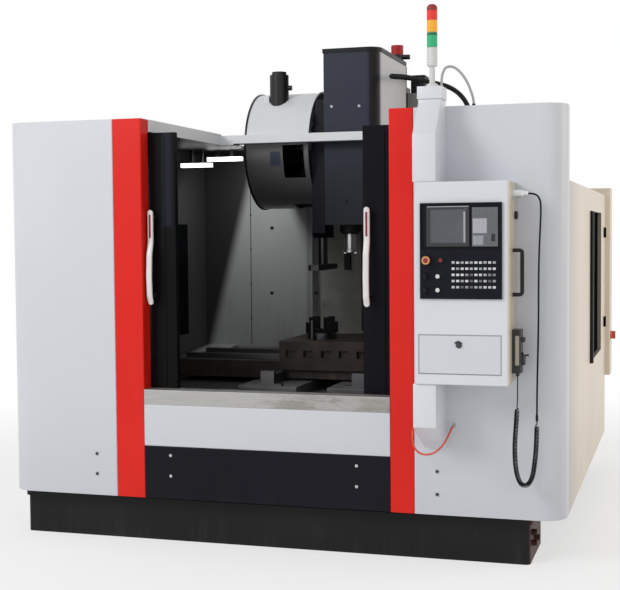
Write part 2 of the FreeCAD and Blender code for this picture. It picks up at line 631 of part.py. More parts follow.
saddle = solid("XZ", ("saddle_front", "saddle_rear"),
               [rect(("spindle_x-saddle_half", "spindle_x+saddle_half"), ("saddle_low", "saddle_top"))])
for side in ("-", "+"):
    mid = "spindle_x%sway_half" % side
    hollow(saddle, "XZ", ("saddle_front", "saddle_rear"), [[
        (mid + "-way_wide/2-run_gap", "saddle_low"), (mid + "+way_wide/2+run_gap", "saddle_low"),
        (mid + "+way_wide/2+run_gap", "bed_top+18+run_gap"),
        (mid + "+way_wide/2-6+run_gap", "bed_top+26+run_gap"),
        (mid + "+way_wide/2-6+run_gap", "way_top-22-run_gap"),
        (mid + "+way_wide/2+run_gap", "way_top-14-run_gap"),
        (mid + "+way_wide/2+run_gap", "way_top+run_gap"),
        (mid + "-way_wide/2-run_gap", "way_top+run_gap"),
        (mid + "-way_wide/2-run_gap", "way_top-14-run_gap"),
        (mid + "-way_wide/2+6-run_gap", "way_top-22-run_gap"),
        (mid + "-way_wide/2+6-run_gap", "bed_top+26+run_gap"),
        (mid + "-way_wide/2-run_gap", "bed_top+18+run_gap")]])
soften(saddle, "y", lambda c: c.z < 813 and abs(c.x - 65) > 700, "40", "Chamfer")
node("saddle", saddle)

cross = []
for side in ("-", "+"):
    mid = "(saddle_front+saddle_rear)/2%scross_way_half" % side
    cross.append(block(("spindle_x-saddle_half+20", "spindle_x+saddle_half-20"),
                       (mid + "-cross_way_wide/2", mid + "+cross_way_wide/2"),
                       ("saddle_top", "cross_way_top")))
x_motor = union([block(("spindle_x+saddle_half", "spindle_x+saddle_half+18"), ("1080", "1220"),
                       ("saddle_low+2", "saddle_top+6")),
                 block(("spindle_x+saddle_half+18", "spindle_x+saddle_half+140"), ("1100", "1200"),
                       ("saddle_low+4", "saddle_top"))])
node("x_guide_rails", *(cross + [x_motor]))

table = solid("YZ", ("table_left", "table_left+table_long"),
              [rect(("table_front", "table_front+table_wide"), ("table_low", "table_top"))])
for side in ("-", "+"):
    mid = "(saddle_front+saddle_rear)/2%scross_way_half" % side
    hollow(table, "YZ", ("table_left", "table_left+table_long"), [rect(
        (mid + "-cross_way_wide/2-run_gap", mid + "+cross_way_wide/2+run_gap"),
        ("table_low", "cross_way_top+run_gap"))])
for step in range(5):
    mid = "table_front+table_wide/2+slot_pitch*(%d)" % (step - 2)
    hollow(table, "YZ", ("table_left", "table_left+table_long"), [
        [(mid + "-slot_wide/2", "table_top"), (mid + "-slot_wide/2", "table_top-slot_deep"),
         (mid + "-slot_foot/2", "table_top-slot_deep"),
         (mid + "-slot_foot/2", "table_top-slot_deep-slot_foot_high"),
         (mid + "+slot_foot/2", "table_top-slot_deep-slot_foot_high"),
         (mid + "+slot_foot/2", "table_top-slot_deep"),
         (mid + "+slot_wide/2", "table_top-slot_deep"), (mid + "+slot_wide/2", "table_top")]])
hollow(table, "XZ", ("table_front", "table_front+core_deep"), [
    rect(("core_first+core_pitch*%d" % k, "core_first+core_wide+core_pitch*%d" % k),
         ("core_low", "core_low+core_high")) for k in range(12)])
soften(table, "x", lambda c: c.z > 1034 and (c.y < 851 or c.y > 1449), "3", "Chamfer")
apron_front = block(("table_left+10", "table_left+table_long-10"), ("table_front-12", "table_front"),
                    ("way_top+6", "core_low-6"))
node("table", table, apron_front)

base = turned("z", ("clamp_x", "clamp_y"), "table_top", [
    ("0", "0"), ("clamp_radius", "0"), ("clamp_radius", "clamp_base-6"), ("clamp_radius-6", "clamp_base"),
    ("0", "clamp_base")])
jaws = []
for number in range(4):
    jaw = solid("XZ", ("-17", "17"), [[
        ("26", "0"), ("clamp_radius+14", "0"), ("clamp_radius+14", "jaw_high-clamp_base-32"),
        ("clamp_radius-8", "jaw_high-clamp_base-32"), ("clamp_radius-8", "jaw_high-clamp_base"),
        ("50", "jaw_high-clamp_base"), ("50", "24"), ("26", "24")]])
    jaw.Placement = Place(Vector(), Turn(Vector(0, 0, 1), 45 + 90 * number))
    for axis, text in (("x", "clamp_x"), ("y", "clamp_y"), ("z", "table_top+clamp_base")):
        bind(jaw, "Placement.Base." + axis, text)
    jaws.append(jaw)
bright = rod("z", ("clamp_x-30", "clamp_y-clamp_radius-rod_radius-4"), ("table_top", "rod_top"), "rod_radius")
node("clamp_fixture", base, bright, *jaws)

# ---- head --------------------------------------------------------------------

head = solid("XZ", ("cover_front+30", "cover_rear-20"),
             [rect(("cover_left+20", "cover_right-30"), ("head_low+20", "head_low+620"))])
soften(head, "z", lambda c: c.y < 1310, "40")
add(head, "XZ", ("cover_rear-20", "cover_rear"),
    [rect(("spindle_x-240", "spindle_x+240"), ("head_low+60", "head_low+660"))])
plate = solid("XY", ("head_low+sheet", "head_low+20"),
              [rect(("cover_left+sheet+run_gap", "cover_right-sheet-run_gap"),
                    ("cover_front+sheet+run_gap", "cover_rear-20"))])
soften(plate, "z", lambda c: c.x > 250 and c.y < 1300, "cover_round-sheet-run_gap")
soften(plate, "z", lambda c: c.x < 0 and c.y < 1300, "4")
shoes = []
for side in ("-", "+"):
    post = "spindle_x%spost_way_half" % side
    for z in ("head_low+120", "head_low+480"):
        shoes.append(solid("XY", (z, z + "+110"), [[
            (post + "-38", "cover_rear"), (post + "+38", "cover_rear"), (post + "+38", "column_front-20"),
            (post + "+14+run_gap", "column_front-20"), (post + "+14+run_gap", "post_way_front+14+run_gap"),
            (post + "+20+run_gap", "post_way_front+8+run_gap"),
            (post + "+20+run_gap", "post_way_front-run_gap"),
            (post + "-20-run_gap", "post_way_front-run_gap"),
            (post + "-20-run_gap", "post_way_front+8+run_gap"),
            (post + "-14-run_gap", "post_way_front+14+run_gap"), (post + "-14-run_gap", "column_front-20"),
            (post + "-38", "column_front-20")]]))
cartridge = turned("z", ("spindle_x", "spindle_y"), "cartridge_low", [
    ("nose_radius-12", "0"), ("cartridge_radius-10", "0"), ("cartridge_radius-10", "8"),
    ("cartridge_radius", "12"), ("cartridge_radius", "head_low+sheet-cartridge_low"),
    ("nose_radius-12", "head_low+sheet-cartridge_low")])
spindle_motor = rod("z", ("spindle_x+40", "spindle_y+150"), ("head_low+620", "head_low+980"), "95")
node("head_casting", head, plate, cartridge, spindle_motor, *shoes)

cover = solid("XY", ("head_low", "cover_top"),
              [rect(("cover_left", "cover_right"), ("cover_front", "cover_rear-20"))])
soften(cover, "z", lambda c: c.x > 250 and c.y < 1300, "cover_round")
soften(cover, "z", lambda c: c.x < 0 and c.y < 1300, "6")
shell(cover, "y", "cover_rear-20")
hollow(cover, "XY", ("head_low-1", "head_low+sheet+1"), [
    ["circle", "spindle_x", "spindle_y", "cartridge_radius+0.3"]])
lid = solid("XY", ("cover_top", "cover_top+lid_thick"),
            [rect(("cover_left-4", "cover_right+4"), ("cover_front-4", "cover_rear-20"))])
soften(lid, "z", lambda c: c.x > 250 and c.y < 1300, "cover_round+4")
plugs = [prism("x", (y, z), ("cover_left-13", "cover_left"), "13", 12)
         for y, z in (("1500", "2590"), ("1500", "2545"))]
button = prism("y", ("spindle_x+6", "head_low+150"), ("cover_front-8", "cover_front"), "15", 12)
node("head_cover", cover, lid, button, *plugs)

nose = turned("z", ("spindle_x", "spindle_y"), "nose_z", [
    ("drive_bore", "0"), ("nose_radius", "0"), ("nose_radius", "18"), ("nose_radius-6", "22"),
    ("nose_radius-6", "cartridge_low-nose_z-2"), ("nose_radius-12.3", "cartridge_low-nose_z-2"),
    ("nose_radius-12.3", "cartridge_low-nose_z+28"), ("10", "cartridge_low-nose_z+28"),
    ("10", "100"), ("12", "100")])
drive_keys = [block((x, x + "+15"), ("spindle_y-8", "spindle_y+8"), ("nose_z-7", "nose_z"))
              for x in ("spindle_x-nose_radius+3", "spindle_x+nose_radius-18")]
node("spindle", union([nose] + drive_keys))

# ---- tool magazine and changer ---------------------------------------------------

shell_ring = solid("YZ", ("drum_left", "drum_right"), [
    ["circle", "drum_y", "drum_z", "drum_radius"],
    ["circle", "drum_y", "drum_z", "drum_radius-drum_skin"]])
hollow(shell_ring, "XZ", ("drum_y-drum_radius-5", "drum_y-drum_radius+90"),
       [rect(("window_left", "window_right"), ("window_low", "window_high"))])
hollow(shell_ring, "XY", ("drum_z-drum_radius-5", "drum_z-drum_radius+60"),
       [rect(("drum_right-170", "drum_right-30"), ("spindle_y+80", "drum_y+80"))])
left_plate = solid("YZ", ("drum_left", "drum_left+drum_skin"), [
    ["circle", "drum_y", "drum_z", "drum_radius-drum_skin"]])
axle = rod("x", ("drum_y", "drum_z"), ("drum_left+drum_skin-1", "drum_left+110"), "axle_radius")
rims = [solid("YZ", (low, low + "+8"), [
    ["circle", "drum_y", "drum_z", "drum_radius+7"], ["circle", "drum_y", "drum_z", "drum_radius-1"]])
    for low in ("drum_left", "drum_right-8")]
full_drum = rod("x", ("drum_y", "drum_z"), ("drum_left-10", "drum_right+10"), "drum_radius")
arm_mount = minus(block(("spindle_x-post_way_half-180", "spindle_x-post_way_half-70"),
                        ("drum_y+drum_radius-60", "column_front"), ("drum_z-120", "drum_z+120")), [full_drum])
motor_foot = minus(block(("drum_motor_x-95", "drum_motor_x-60"), ("drum_motor_y-30", "drum_motor_y+50"),
                         ("drum_z+drum_radius-90", "drum_z+drum_radius-30")), [full_drum])
drum_case = union([shell_ring, left_plate, axle] + rims)
node("magazine_cover", drum_case, arm_mount, motor_foot)

motor_axis = ("drum_motor_x", "drum_motor_y")
motor_case = rod("z", motor_axis, ("drum_z+drum_radius-130", "drum_motor_top-20"), "drum_motor_radius")
motor_crown = rod("z", motor_axis, ("drum_motor_top-20", "drum_motor_top"), "drum_motor_radius-14")
motor_plug = rod("x", ("drum_motor_y", "2590"), ("drum_motor_x", "drum_motor_x+82"), "16")
drum_space = rod("x", ("drum_y", "drum_z"), ("drum_left-10", "drum_right+10"), "drum_radius")
drum_motor = minus(union([motor_case, motor_crown, motor_plug]), [drum_space])
node("feed_motors", y_motor, z_motor, drum_motor)

wheel = turned("x", ("drum_y", "drum_z"), "drum_left+62", [
    ("axle_radius+run_gap", "0"), ("hub_radius", "0"), ("hub_radius", "12"), ("drum_radius-disc_inset", "12"),
    ("drum_radius-disc_inset", "30"), ("hub_radius", "30"), ("hub_radius", "60"),
    ("axle_radius+run_gap", "60")])
pots = []
for number in range(sizes["pot_count"]):
    angle = 2 * math.pi * number / sizes["pot_count"]
    y = "drum_y+((drum_radius-pot_inset)*%.6f)" % math.cos(angle)
    z = "drum_z+((drum_radius-pot_inset)*%.6f)" % math.sin(angle)
    pots.append(prism("x", (y, z), ("drum_left+74", "drum_left+74+pot_long"), "pot_radius", 8))
bores = []
for number in range(sizes["pot_count"]):
    angle = 2 * math.pi * number / sizes["pot_count"]
    y = "drum_y+((drum_radius-pot_inset)*%.6f)" % math.cos(angle)
    z = "drum_z+((drum_radius-pot_inset)*%.6f)" % math.sin(angle)
    bores.append(prism("x", (y, z), ("drum_left+104", "drum_left+75+pot_long"), "pot_radius-10", 8))
node("carousel", minus(union([wheel] + pots), bores))

gearbox = solid("YZ", ("gearbox_left", "gearbox_right"), [
    rect(("shaft_y-75", "shaft_y+120"), ("gearbox_low", "gearbox_high"))])
soften(gearbox, "x", lambda c: c.z < 1650 and c.y < 1360, "30", "Chamfer")
flare = solid("XZ", ("shaft_y-50", "shaft_y+90"), [[
    ("gearbox_left", "gearbox_high"), ("gearbox_right", "gearbox_high"), ("gearbox_right", "2500"),
    ("gearbox_left+24", "2500"), ("gearbox_left", "gearbox_high+40")]])
sleeve_bore = rod("z", ("shaft_x", "shaft_y"), ("gearbox_low-1", "gearbox_low+220"), "shaft_radius+run_gap")
node("exchange_gearbox", minus(gearbox, [sleeve_bore]), flare)
sleeve_span = ("arm_low+arm_thick", "gearbox_low+160")
node("exchange_sleeve", rod("z", ("shaft_x", "shaft_y"), sleeve_span, "shaft_radius"))
arm = solid("XY", ("arm_low", "arm_low+arm_thick"), [[
    ("shaft_x-34", "shaft_y-arm_reach-20"), ("shaft_x-12", "shaft_y-arm_reach-44"),
    ("shaft_x+38", "shaft_y-arm_reach-44"), ("shaft_x+38", "shaft_y-60"),
    ("shaft_x+38", "shaft_y+arm_reach+20"),
    ("shaft_x+12", "shaft_y+arm_reach+44"), ("shaft_x-38", "shaft_y+arm_reach+44"),
    ("shaft_x-38", "shaft_y+60"), ("shaft_x-38", "shaft_y-60")]])
node("exchange_arm", arm)

# ---- pendant -------------------------------------------------------------------

duct = solid("YZ", ("duct_left", "duct_right"), [rect(("duct_front", "0"), ("duct_kink_top", "duct_top"))])
shell(duct, "z", "duct_kink_top")
kink = solid("XZ", ("duct_front", "0"), [[
    ("duct_low_left", "duct_kink_low"), ("duct_low_right", "duct_kink_low"), ("duct_right", "duct_kink_top"),
    ("duct_left", "duct_kink_top")]])
lower_duct = solid("XZ", ("duct_front", "0"), [[
    ("duct_low_left", "duct_foot_left"), ("duct_low_right", "duct_foot_right"),
    ("duct_low_right", "duct_kink_low"), ("duct_low_left", "duct_kink_low")]])
soften(lower_duct, "z", lambda c: c.y < -160, "6")
cap = solid("XY", ("duct_top", "duct_cap"),
            [rect(("duct_left-8", "duct_right+8"), ("duct_front-8", "0"))])
soften(cap, "z", lambda c: c.y < -170, "8")
node("pendant_duct", duct, kink, lower_duct, cap)

box = solid("XY", ("box_low", "box_high"), [[
    ("box_left", "box_front"), ("box_right", "box_front"), ("box_right", "0"), ("box_notch", "0"),
    ("box_notch", "duct_front-1"), ("box_left", "duct_front-1")]])
soften(box, "z", lambda c: c.y < -270, "6")
soften(box, "x", lambda c: c.y < -270, "6")
hollow(box, "XZ", ("box_front", "box_front+flap_deep"),
       [rect(("flap_left+12", "flap_right-12"), ("flap_low+10", "flap_high-10"))])
hollow(box, "XZ", ("box_front", "box_front+flap_thick"),
       [rect(("flap_left-run_gap", "flap_right+run_gap"), ("flap_low-run_gap*2", "flap_high+run_gap"))])
hollow(box, "YZ", ("box_right-2", "box_right+1"),
       [rect(("-100", "-97"), ("box_low", "box_high"))])
node("pendant_housing", box)

front = "box_front-fascia_thick"
fascia = solid("XZ", (front, "box_front"),
               [rect(("fascia_left", "fascia_right"), ("fascia_low", "fascia_high"))])
hollow(fascia, "XZ", (front, "box_front-4"),
       [rect(("fascia_left+8", "fascia_right-8"), ("fascia_split+4", "fascia_high-8"))])
round_holes = [("stop_x", "stop_z", "stop_stem"), ("lamp_x", "stop_z", "push_radius"),
               ("push_x", "push_top_z", "push_radius"), ("push_x", "push_low_z", "push_radius"),
               ("knob_x", "push_top_z", "knob_radius-6"), ("knob_x", "push_low_z", "knob_radius-6")]
hollow(fascia, "XZ", (front, "box_front"),
       [["circle", x, z, radius + "+run_gap"] for x, z, radius in round_holes])
collars = []
for (x, z, radius), width in zip(round_holes, (13, 6, 5, 5, 11, 11)):
    collars.append(solid("XZ", (front + "-4", front), [
        ["circle", x, z, "%s+%d" % (radius, width)], ["circle", x, z, radius + "+run_gap"]]))
node("control_fascia", fascia, *collars)

screen_hole = rect(("screen_left+screen_rim", "screen_right-screen_rim"),
                   ("screen_low+screen_rim", "screen_high-screen_rim"))
screen_frame = solid("XZ", ("box_front-12", "box_front-4"), [
    rect(("screen_left", "screen_right"), ("screen_low", "screen_high")), screen_hole])
node("screen_glass", solid("XZ", ("box_front-8", "box_front-4"), [screen_hole]))
key_block = solid("XZ", ("box_front-10", "box_front-4"),
                  [rect(("plate_left", "plate_right"), ("screen_low", "plate_high"))])
keys = solid("XZ", (front + "-3", front), [
    rect(("key_left", "key_left+key_wide"), ("key_low", "key_low+key_tall"))])
repeat(keys, [("x", "key_right-key_left-key_wide", 10), ("z", "key_high-key_low-key_tall", 5)])
letters = solid("XZ", ("box_front-12", "box_front-10"), [
    rect(("plate_left+6", "plate_left+18"), ("screen_low+60", "screen_low+70"))])
repeat(letters, [("x", "plate_right-plate_left-23", 7), ("z", "plate_high-screen_low-79", 7)])
soft_keys = solid("XZ", ("box_front-12", "box_front-10"), [
    rect(("plate_left+6", "plate_left+24"), ("screen_low+10", "screen_low+22"))])
repeat(soft_keys, [("x", "plate_right-plate_left-33", 5), ("z", "20", 2)])
node("panel_keys", screen_frame, key_block, keys, letters, soft_keys)

node("stop_button", turned("y", ("stop_x", "stop_z"), front + "-30", [
    ("0", "0"), ("stop_head-3", "0"), ("stop_head", "4"), ("stop_head", "12"), ("stop_stem", "16"),
    ("stop_stem", "35"), ("0", "35")]))
node("red_button", turned("y", ("lamp_x", "stop_z"), front + "-9", [
    ("0", "0"), ("push_radius-2", "0"), ("push_radius", "2"), ("push_radius", "14"), ("0", "14")]))
for label, z in (("upper", "push_top_z"), ("lower", "push_low_z")):
    node(label + "_white_button", turned("y", ("push_x", z), front + "-9", [
        ("0", "0"), ("push_radius-2", "0"), ("push_radius", "2"), ("push_radius", "14"), ("0", "14")]))
for label, z in (("upper", "push_top_z"), ("lower", "push_low_z")):
    knob = turned("y", ("knob_x", z), front + "-16", [
        ("0", "0"), ("knob_radius-2", "0"), ("knob_radius", "11.7"), ("knob_radius-6", "11.7"),
        ("knob_radius-6", "21"), ("0", "21")])
    wing = block(("knob_x-3", "knob_x+3"), (front + "-26", front + "-15"), (z + "-11", z + "+11"))
    node(label + "_selector", union([knob, wing]))

pin_radius = "(flap_thick-run_gap)/2"
flap = solid("XZ", ("box_front", "box_front+flap_thick-run_gap"),
             [rect(("flap_left", "flap_right"), ("flap_low+" + pin_radius, "flap_high"))])
soften(flap, "y", lambda c: c.z > worth("flap_high-10"), "3")
hollow(flap, "XZ", ("box_front", "box_front+flap_thick"),
       [["circle", "latch_x", "latch_z", "latch_bore+run_gap"]])
pin_axis = ("box_front+" + pin_radius, "flap_low+" + pin_radius)
flap_pin = rod("x", pin_axis, ("flap_left", "flap_right"), pin_radius)
node("pendant_flap", union([flap, flap_pin]))
latch = turned("y", ("latch_x", "latch_z"), "box_front-7", [
    ("0", "0"), ("latch_bore+5", "0"), ("latch_bore+6", "6.7"), ("latch_bore", "6.7"), ("latch_bore", "14"),
    ("0", "14")])
tongue = block(("latch_x-6", "latch_x+6"), ("box_front+7", "box_front+10"), ("latch_z-8", "latch_z+24"))
bit = block(("latch_x-2", "latch_x+2"), ("box_front-11", "box_front-6"), ("latch_z-9", "latch_z+9"))
node("flap_latch", union([latch, tongue, bit]))

grab = solid("XY", ("grab_low", "grab_high"),
             [rect(("box_right", "grab_right"), ("grab_front", "grab_rear"))])
soften(grab, "y", lambda c: c.x > 1340, "22")
hollow(grab, "XZ", ("grab_front-2", "grab_rear+2"), [
    rect(("box_right-1", "grab_right-grab_thick"), ("grab_low+18", "grab_high-18"))])
lock = turned("x", ("lock_y", "lock_z"), "box_right", [
    ("0", "0"), ("lock_radius", "0"), ("lock_radius", "11"), ("lock_radius-5", "15"), ("0", "15")])
node("side_handle", grab, lock)

unit = solid("XY", ("unit_low", "unit_high"),
             [rect(("box_right", "unit_right"), ("unit_front", "unit_rear"))])
soften(unit, "z", lambda c: c.x > 1329, "8")
hollow(unit, "YZ", ("unit_right-14", "unit_right+1"), [["circle", "dial_y", "dial_z", "dial_stem+run_gap"]])
boss = solid("YZ", ("unit_right", "unit_right+4"), [
    ["circle", "dial_y", "dial_z", "dial_radius+3"], ["circle", "dial_y", "dial_z", "dial_stem+run_gap"]])
small_knobs = [prism("x", (y, "unit_high-50"), ("unit_right", "unit_right+13"), "11", 12)
               for y in ("dial_y-22", "dial_y+22")]
gland = prism("z", ("unit_right-21", "dial_y"), ("unit_low-18", "unit_low"), "9", 6)
node("handwheel_unit", unit, boss, gland, *small_knobs)
dial = turned("x", ("dial_y", "dial_z"), "unit_right-12", [
    ("0", "0"), ("dial_stem", "0"), ("dial_stem", "16.3"), ("dial_radius", "16.3"), ("dial_radius", "24"),
    ("dial_radius-3", "27"), ("0", "27")])
crank = rod("x", ("dial_y", "dial_z+19"), ("unit_right+14", "unit_right+33"), "6")
node("handwheel_dial", union([dial, crank]))

plug = turned("x", ("plug_y", "plug_z"), "box_right", [
    ("0", "0"), ("plug_radius+7", "0"), ("plug_radius+7", "6"), ("plug_radius", "6"), ("plug_radius", "44"),
    ("plug_radius-5", "52"), ("plug_radius-5", "66"), ("8", "72"), ("0", "72")])
node("cable_plug", plug)

# ---- cabinet at the rear ---------------------------------------------------------

back_plane = "housing_rear+cabinet_deep"
flank_plane = "half_wide+cabinet_out"
cabinet = solid("XY", ("cabinet_low", "cabinet_high"),
                [rect(("cabinet_left", flank_plane), ("housing_rear", back_plane))])
soften(cabinet, "z", lambda c: c.x > worth(flank_plane + "-10"), "8")
hollow(cabinet, "XZ", (back_plane + "-170", back_plane),
       [rect(("cabinet_left+30", flank_plane + "-30"), ("cabinet_low+30", "cabinet_high-30"))])
hollow(cabinet, "YZ", (flank_plane + "-10", flank_plane),
       [["circle", "housing_rear+switch_back", "switch_z", "switch_stem+run_gap"]])
mounting_plate = block(("cabinet_left+60", flank_plane + "-60"), (back_plane + "-170", back_plane + "-164"),
                       ("cabinet_low+60", "cabinet_high-60"))
drives = [block((x, x + "+90"), (back_plane + "-164", back_plane + "-60"), ("1450", "1830"))
          for x in ("cabinet_left+110", "cabinet_left+215", "cabinet_left+320", "cabinet_left+425")]
drives += [block(("cabinet_left+110", flank_plane + "-140"), (back_plane + "-164", back_plane + "-110"),
                 (z, z + "+80")) for z in ("1260", "1090", "920")]
pins = [rod("z", (flank_plane + "-8", back_plane + "+10"), (z, z + "+50"), "7")
        for z in ("cabinet_low+120", "cabinet_high-170")]
pin_plates = [block((flank_plane + "-15", flank_plane + "-1"), (back_plane, back_plane + "+4"),
                    (z, z + "+50")) for z in ("cabinet_low+120", "cabinet_high-170")]
hinge_parts = [union([pin, plate]) for pin, plate in zip(pins, pin_plates)]
node("electrical_cabinet", cabinet, mounting_plate, *(drives + hinge_parts))

rear_door = solid("XZ", (back_plane + "+run_gap", back_plane + "+cabinet_door"),
                  [rect(("cabinet_left", flank_plane + "-17"), ("cabinet_low", "cabinet_high"))])
soften(rear_door, "z", lambda c: c.y > worth(back_plane + "+20") and c.x < worth("cabinet_left+20"), "4")
rear_handle = block(("cabinet_left+30", "cabinet_left+55"),
                    (back_plane + "+cabinet_door", back_plane + "+cabinet_door+14"), ("1240", "1400"))
node("cabinet_door", rear_door, rear_handle)

switch = turned("x", ("housing_rear+switch_back", "switch_z"), flank_plane + "-8", [
    ("0", "0"), ("switch_stem", "0"), ("switch_stem", "8.3"), ("30", "8.3"), ("30", "14"), ("24", "20"),
    ("0", "20")])
switch_grip = block((flank_plane + "+11", flank_plane + "+34"),
                    ("housing_rear+switch_back-7", "housing_rear+switch_back+7"),
                    ("switch_z-27", "switch_z+27"))
node("main_switch", union([switch, switch_grip]))

# ---- signal tower ---------------------------------------------------------------

tower_foot = rod("z", ("tower_x", "tower_y"), ("duct_cap", "duct_cap+8"), "lens_radius+5")
tower_pole = rod("z", ("tower_x", "tower_y"), ("duct_cap+7", "tube_top-7"), "10")
tower_seat = rod("z", ("tower_x", "tower_y"), ("tube_top-8", "tube_top"), "lens_radius-3")
tower = union([tower_foot, tower_pole, tower_seat])
lenses = []
for low, high in (("tube_top", "green_top"), ("green_top", "amber_top"), ("amber_top", "red_top"),
                  ("red_top", "tower_top-8")):
    neck = rod("z", ("tower_x", "tower_y"), (low, low + "+4"), "lens_radius-2")
    drum = rod("z", ("tower_x", "tower_y"), (low + "+3", high), "lens_radius")
    lenses.append(union([neck, drum]))
tower_lid = turned("z", ("tower_x", "tower_y"), "tower_top-8", [
    ("0", "0"), ("lens_radius-1", "0"), ("lens_radius-4", "8"), ("0", "8")])
node("signal_tower", tower, tower_lid, *lenses)

# ---- hoses, conduits and the curly cable --------------------------------------------


def rounded_route(points):
    corners = [Vector(*p) for p in points]
    pieces = []
    radii = []
    here = corners[0]
    for before, corner, after in zip(corners, corners[1:], corners[2:]):
        back = before - corner
        onward = after - corner
        turn = math.pi - back.getAngle(onward)
        reach = 0.45 * min(back.Length, onward.Length)
        back.normalize()
        onward.normalize()
        radius = reach / math.tan(turn / 2)
        first = corner + back * reach
        last = corner + onward * reach
        split = back + onward
        split.normalize()
        middle = corner + split * (math.sqrt(radius * radius + reach * reach) - radius)
        pieces.append(Part.LineSegment(here, first).toShape())
        pieces.append(Part.Arc(first, middle, last).toShape())
        radii.append(radius)
        here = last
    pieces.append(Part.LineSegment(here, corners[-1]).toShape())
    return Part.Wire(pieces), radii


def piped(wire, radius, start, way):
    # an eight-sided section keeps the facets few
    ahead = Vector(way)
    ahead.normalize()
    aside = ahead.cross(Vector(0, 1, 0))
    if aside.Length < 0.5:
        aside = ahead.cross(Vector(1, 0, 0))
    aside.normalize()
    upward = ahead.cross(aside)
    angles = [math.pi * (0.125 + 0.25 * k) for k in range(8)]
    ring = [start + aside * (radius * math.cos(a)) + upward * (radius * math.sin(a)) for a in angles]
    return wire.makePipeShell([Part.makePolygon(ring + [ring[0]])], True, False)


def section_area(radius):
    return 4 * radius * radius * math.sin(math.pi / 4)


def cord(name, points, radius):
    wire, radii = rounded_route(points)
    start = Vector(*points[0])
    tube = piped(wire, radius, start, Vector(*points[1]) - start)
    solid_volume = section_area(radius) * wire.Length
    print("%s length %.1f least radius %.1f volume ratio %.4f" % (
        name, wire.Length, min(radii), tube.Volume / solid_volume))
    return tube


def glide(points, part):
    # clamped quadratic curve through the control polygon
    count = len(points)
    knots = [0, 0] + list(range(count - 1)) + [count - 2, count - 2]
    place = part * (count - 2)
    span = min(int(place), count - 3) + 2
    held = [Vector(*points[span - 2 + k]) for k in range(3)]
    for level in (1, 2):
        for k in range(2, level - 1, -1):
            low = knots[span - 2 + k]
            high = knots[span + 1 + k - level]
            share = (place - low) / (high - low)
            held[k] = held[k - 1] * (1 - share) + held[k] * share
    return held[2]


def arc_pair(first, first_way, last, last_way):
    run = last - first
    both = first_way + last_way
    lead = 2 * (1 - first_way.dot(last_way))
    slant = run.dot(both)
    if lead < 1e-9:
        reach = run.dot(run) / (2 * slant)
    else:
        reach = (-slant + math.sqrt(slant * slant + lead * run.dot(run))) / lead
    knee = first + first_way * reach
    other = last - last_way * reach
    joint = (knee + other) * 0.5
    return [bend(first, knee, joint), bend(joint, other, last)]


def bend(start, corner, end):
    half = (end - start) * 0.5
    middle = (start + end) * 0.5
    drop = (corner - middle).Length
    if drop < 1e-7:
        return Part.LineSegment(start, end).toShape()
    reach = (corner - start).Length
    radius = half.Length * reach / drop
    toward = middle - corner
    toward.normalize()
    peak = corner + toward * (math.sqrt(radius * radius + reach * reach) - radius)
    return Part.Arc(start, peak, end).toShape()


cable_y = -116.0
cable_points = [
    (1360, cable_y, 1849), (1392, cable_y, 1849), (1416, cable_y - 1, 1822), (1420, cable_y - 3, 1772),
    (1416, cable_y - 5, 1680), (1410, cable_y - 3, 1540), (1408, cable_y + 1, 1390),
    (1408, cable_y + 3, 1235), (1405, cable_y + 2, 1080), (1402, cable_y, 930), (1401, cable_y, 792)]
sleeve = Part.makeCylinder(6.5, 34, Vector(1401, cable_y, 758))
cable_tube = cord("handwheel_cable", cable_points, 4.5)

curl_points = [
    (1401, cable_y, 758), (1400, cable_y, 660), (1392, cable_y, 560), (1380, cable_y, 482),
    (1356, cable_y, 444), (1326, cable_y, 446), (1306, cable_y, 492), (1296, cable_y, 570),
    (1296, cable_y, 660), (1303, cable_y, 750), (1308, cable_y, 840), (1309, cable_y, 910),
    (1309, cable_y, 974)]
curl_count = 24
curl_radius = 8.0
curl_wire = 3.0
curl_from = 0.035
curl_to = 0.80


def curl_place(part):
    middle = glide(curl_points, part)
    share = (part - curl_from) / (curl_to - curl_from)
    if share <= 0 or share >= 1:
        return middle
    ahead = glide(curl_points, min(part + 1e-4, 1)) - glide(curl_points, max(part - 1e-4, 0))
    ahead.normalize()
    aside = ahead.cross(Vector(0, 1, 0))
    turns = share * curl_count
    swell = min(1.0, turns / 1.5, (curl_count - turns) / 1.5)
    swell = swell * swell * (3 - 2 * swell)
    angle = 2 * math.pi * turns
    around = aside * math.cos(angle) + Vector(0, 1, 0) * math.sin(angle)
    return middle + around * (curl_radius * swell)


def curl_way(part):
    ahead = curl_place(min(part + 1e-5, 1)) - curl_place(max(part - 1e-5, 0))
    ahead.normalize()
    return ahead


stops = [0.0, curl_from]
stops += [curl_from + (curl_to - curl_from) * k / (curl_count * 2) for k in range(1, curl_count * 2)]
stops += [curl_to, 0.85, 0.9, 0.95, 1.0]
places = [curl_place(s) for s in stops]
ways_ahead = [curl_way(s) for s in stops]
curl_edges = []
for k in range(len(stops) - 1):
    curl_edges += arc_pair(places[k], ways_ahead[k], places[k + 1], ways_ahead[k + 1])
curl_line = Part.Wire(curl_edges)
curl_tube = piped(curl_line, curl_wire, places[0], ways_ahead[0])
least = min([e.Curve.Radius for e in curl_edges if hasattr(e.Curve, "Radius")])
samples = [p for e in curl_edges for p in e.discretize(5)[:-1]]
length_at = [0.0]
for before, after in zip(samples, samples[1:]):
    length_at.append(length_at[-1] + (after - before).Length)
closest = 1e9
for i in range(0, len(samples)):
    for j in range(i + 1, min(i + 60, len(samples))):
        if length_at[j] - length_at[i] > 40:
            closest = min(closest, (samples[j] - samples[i]).Length)
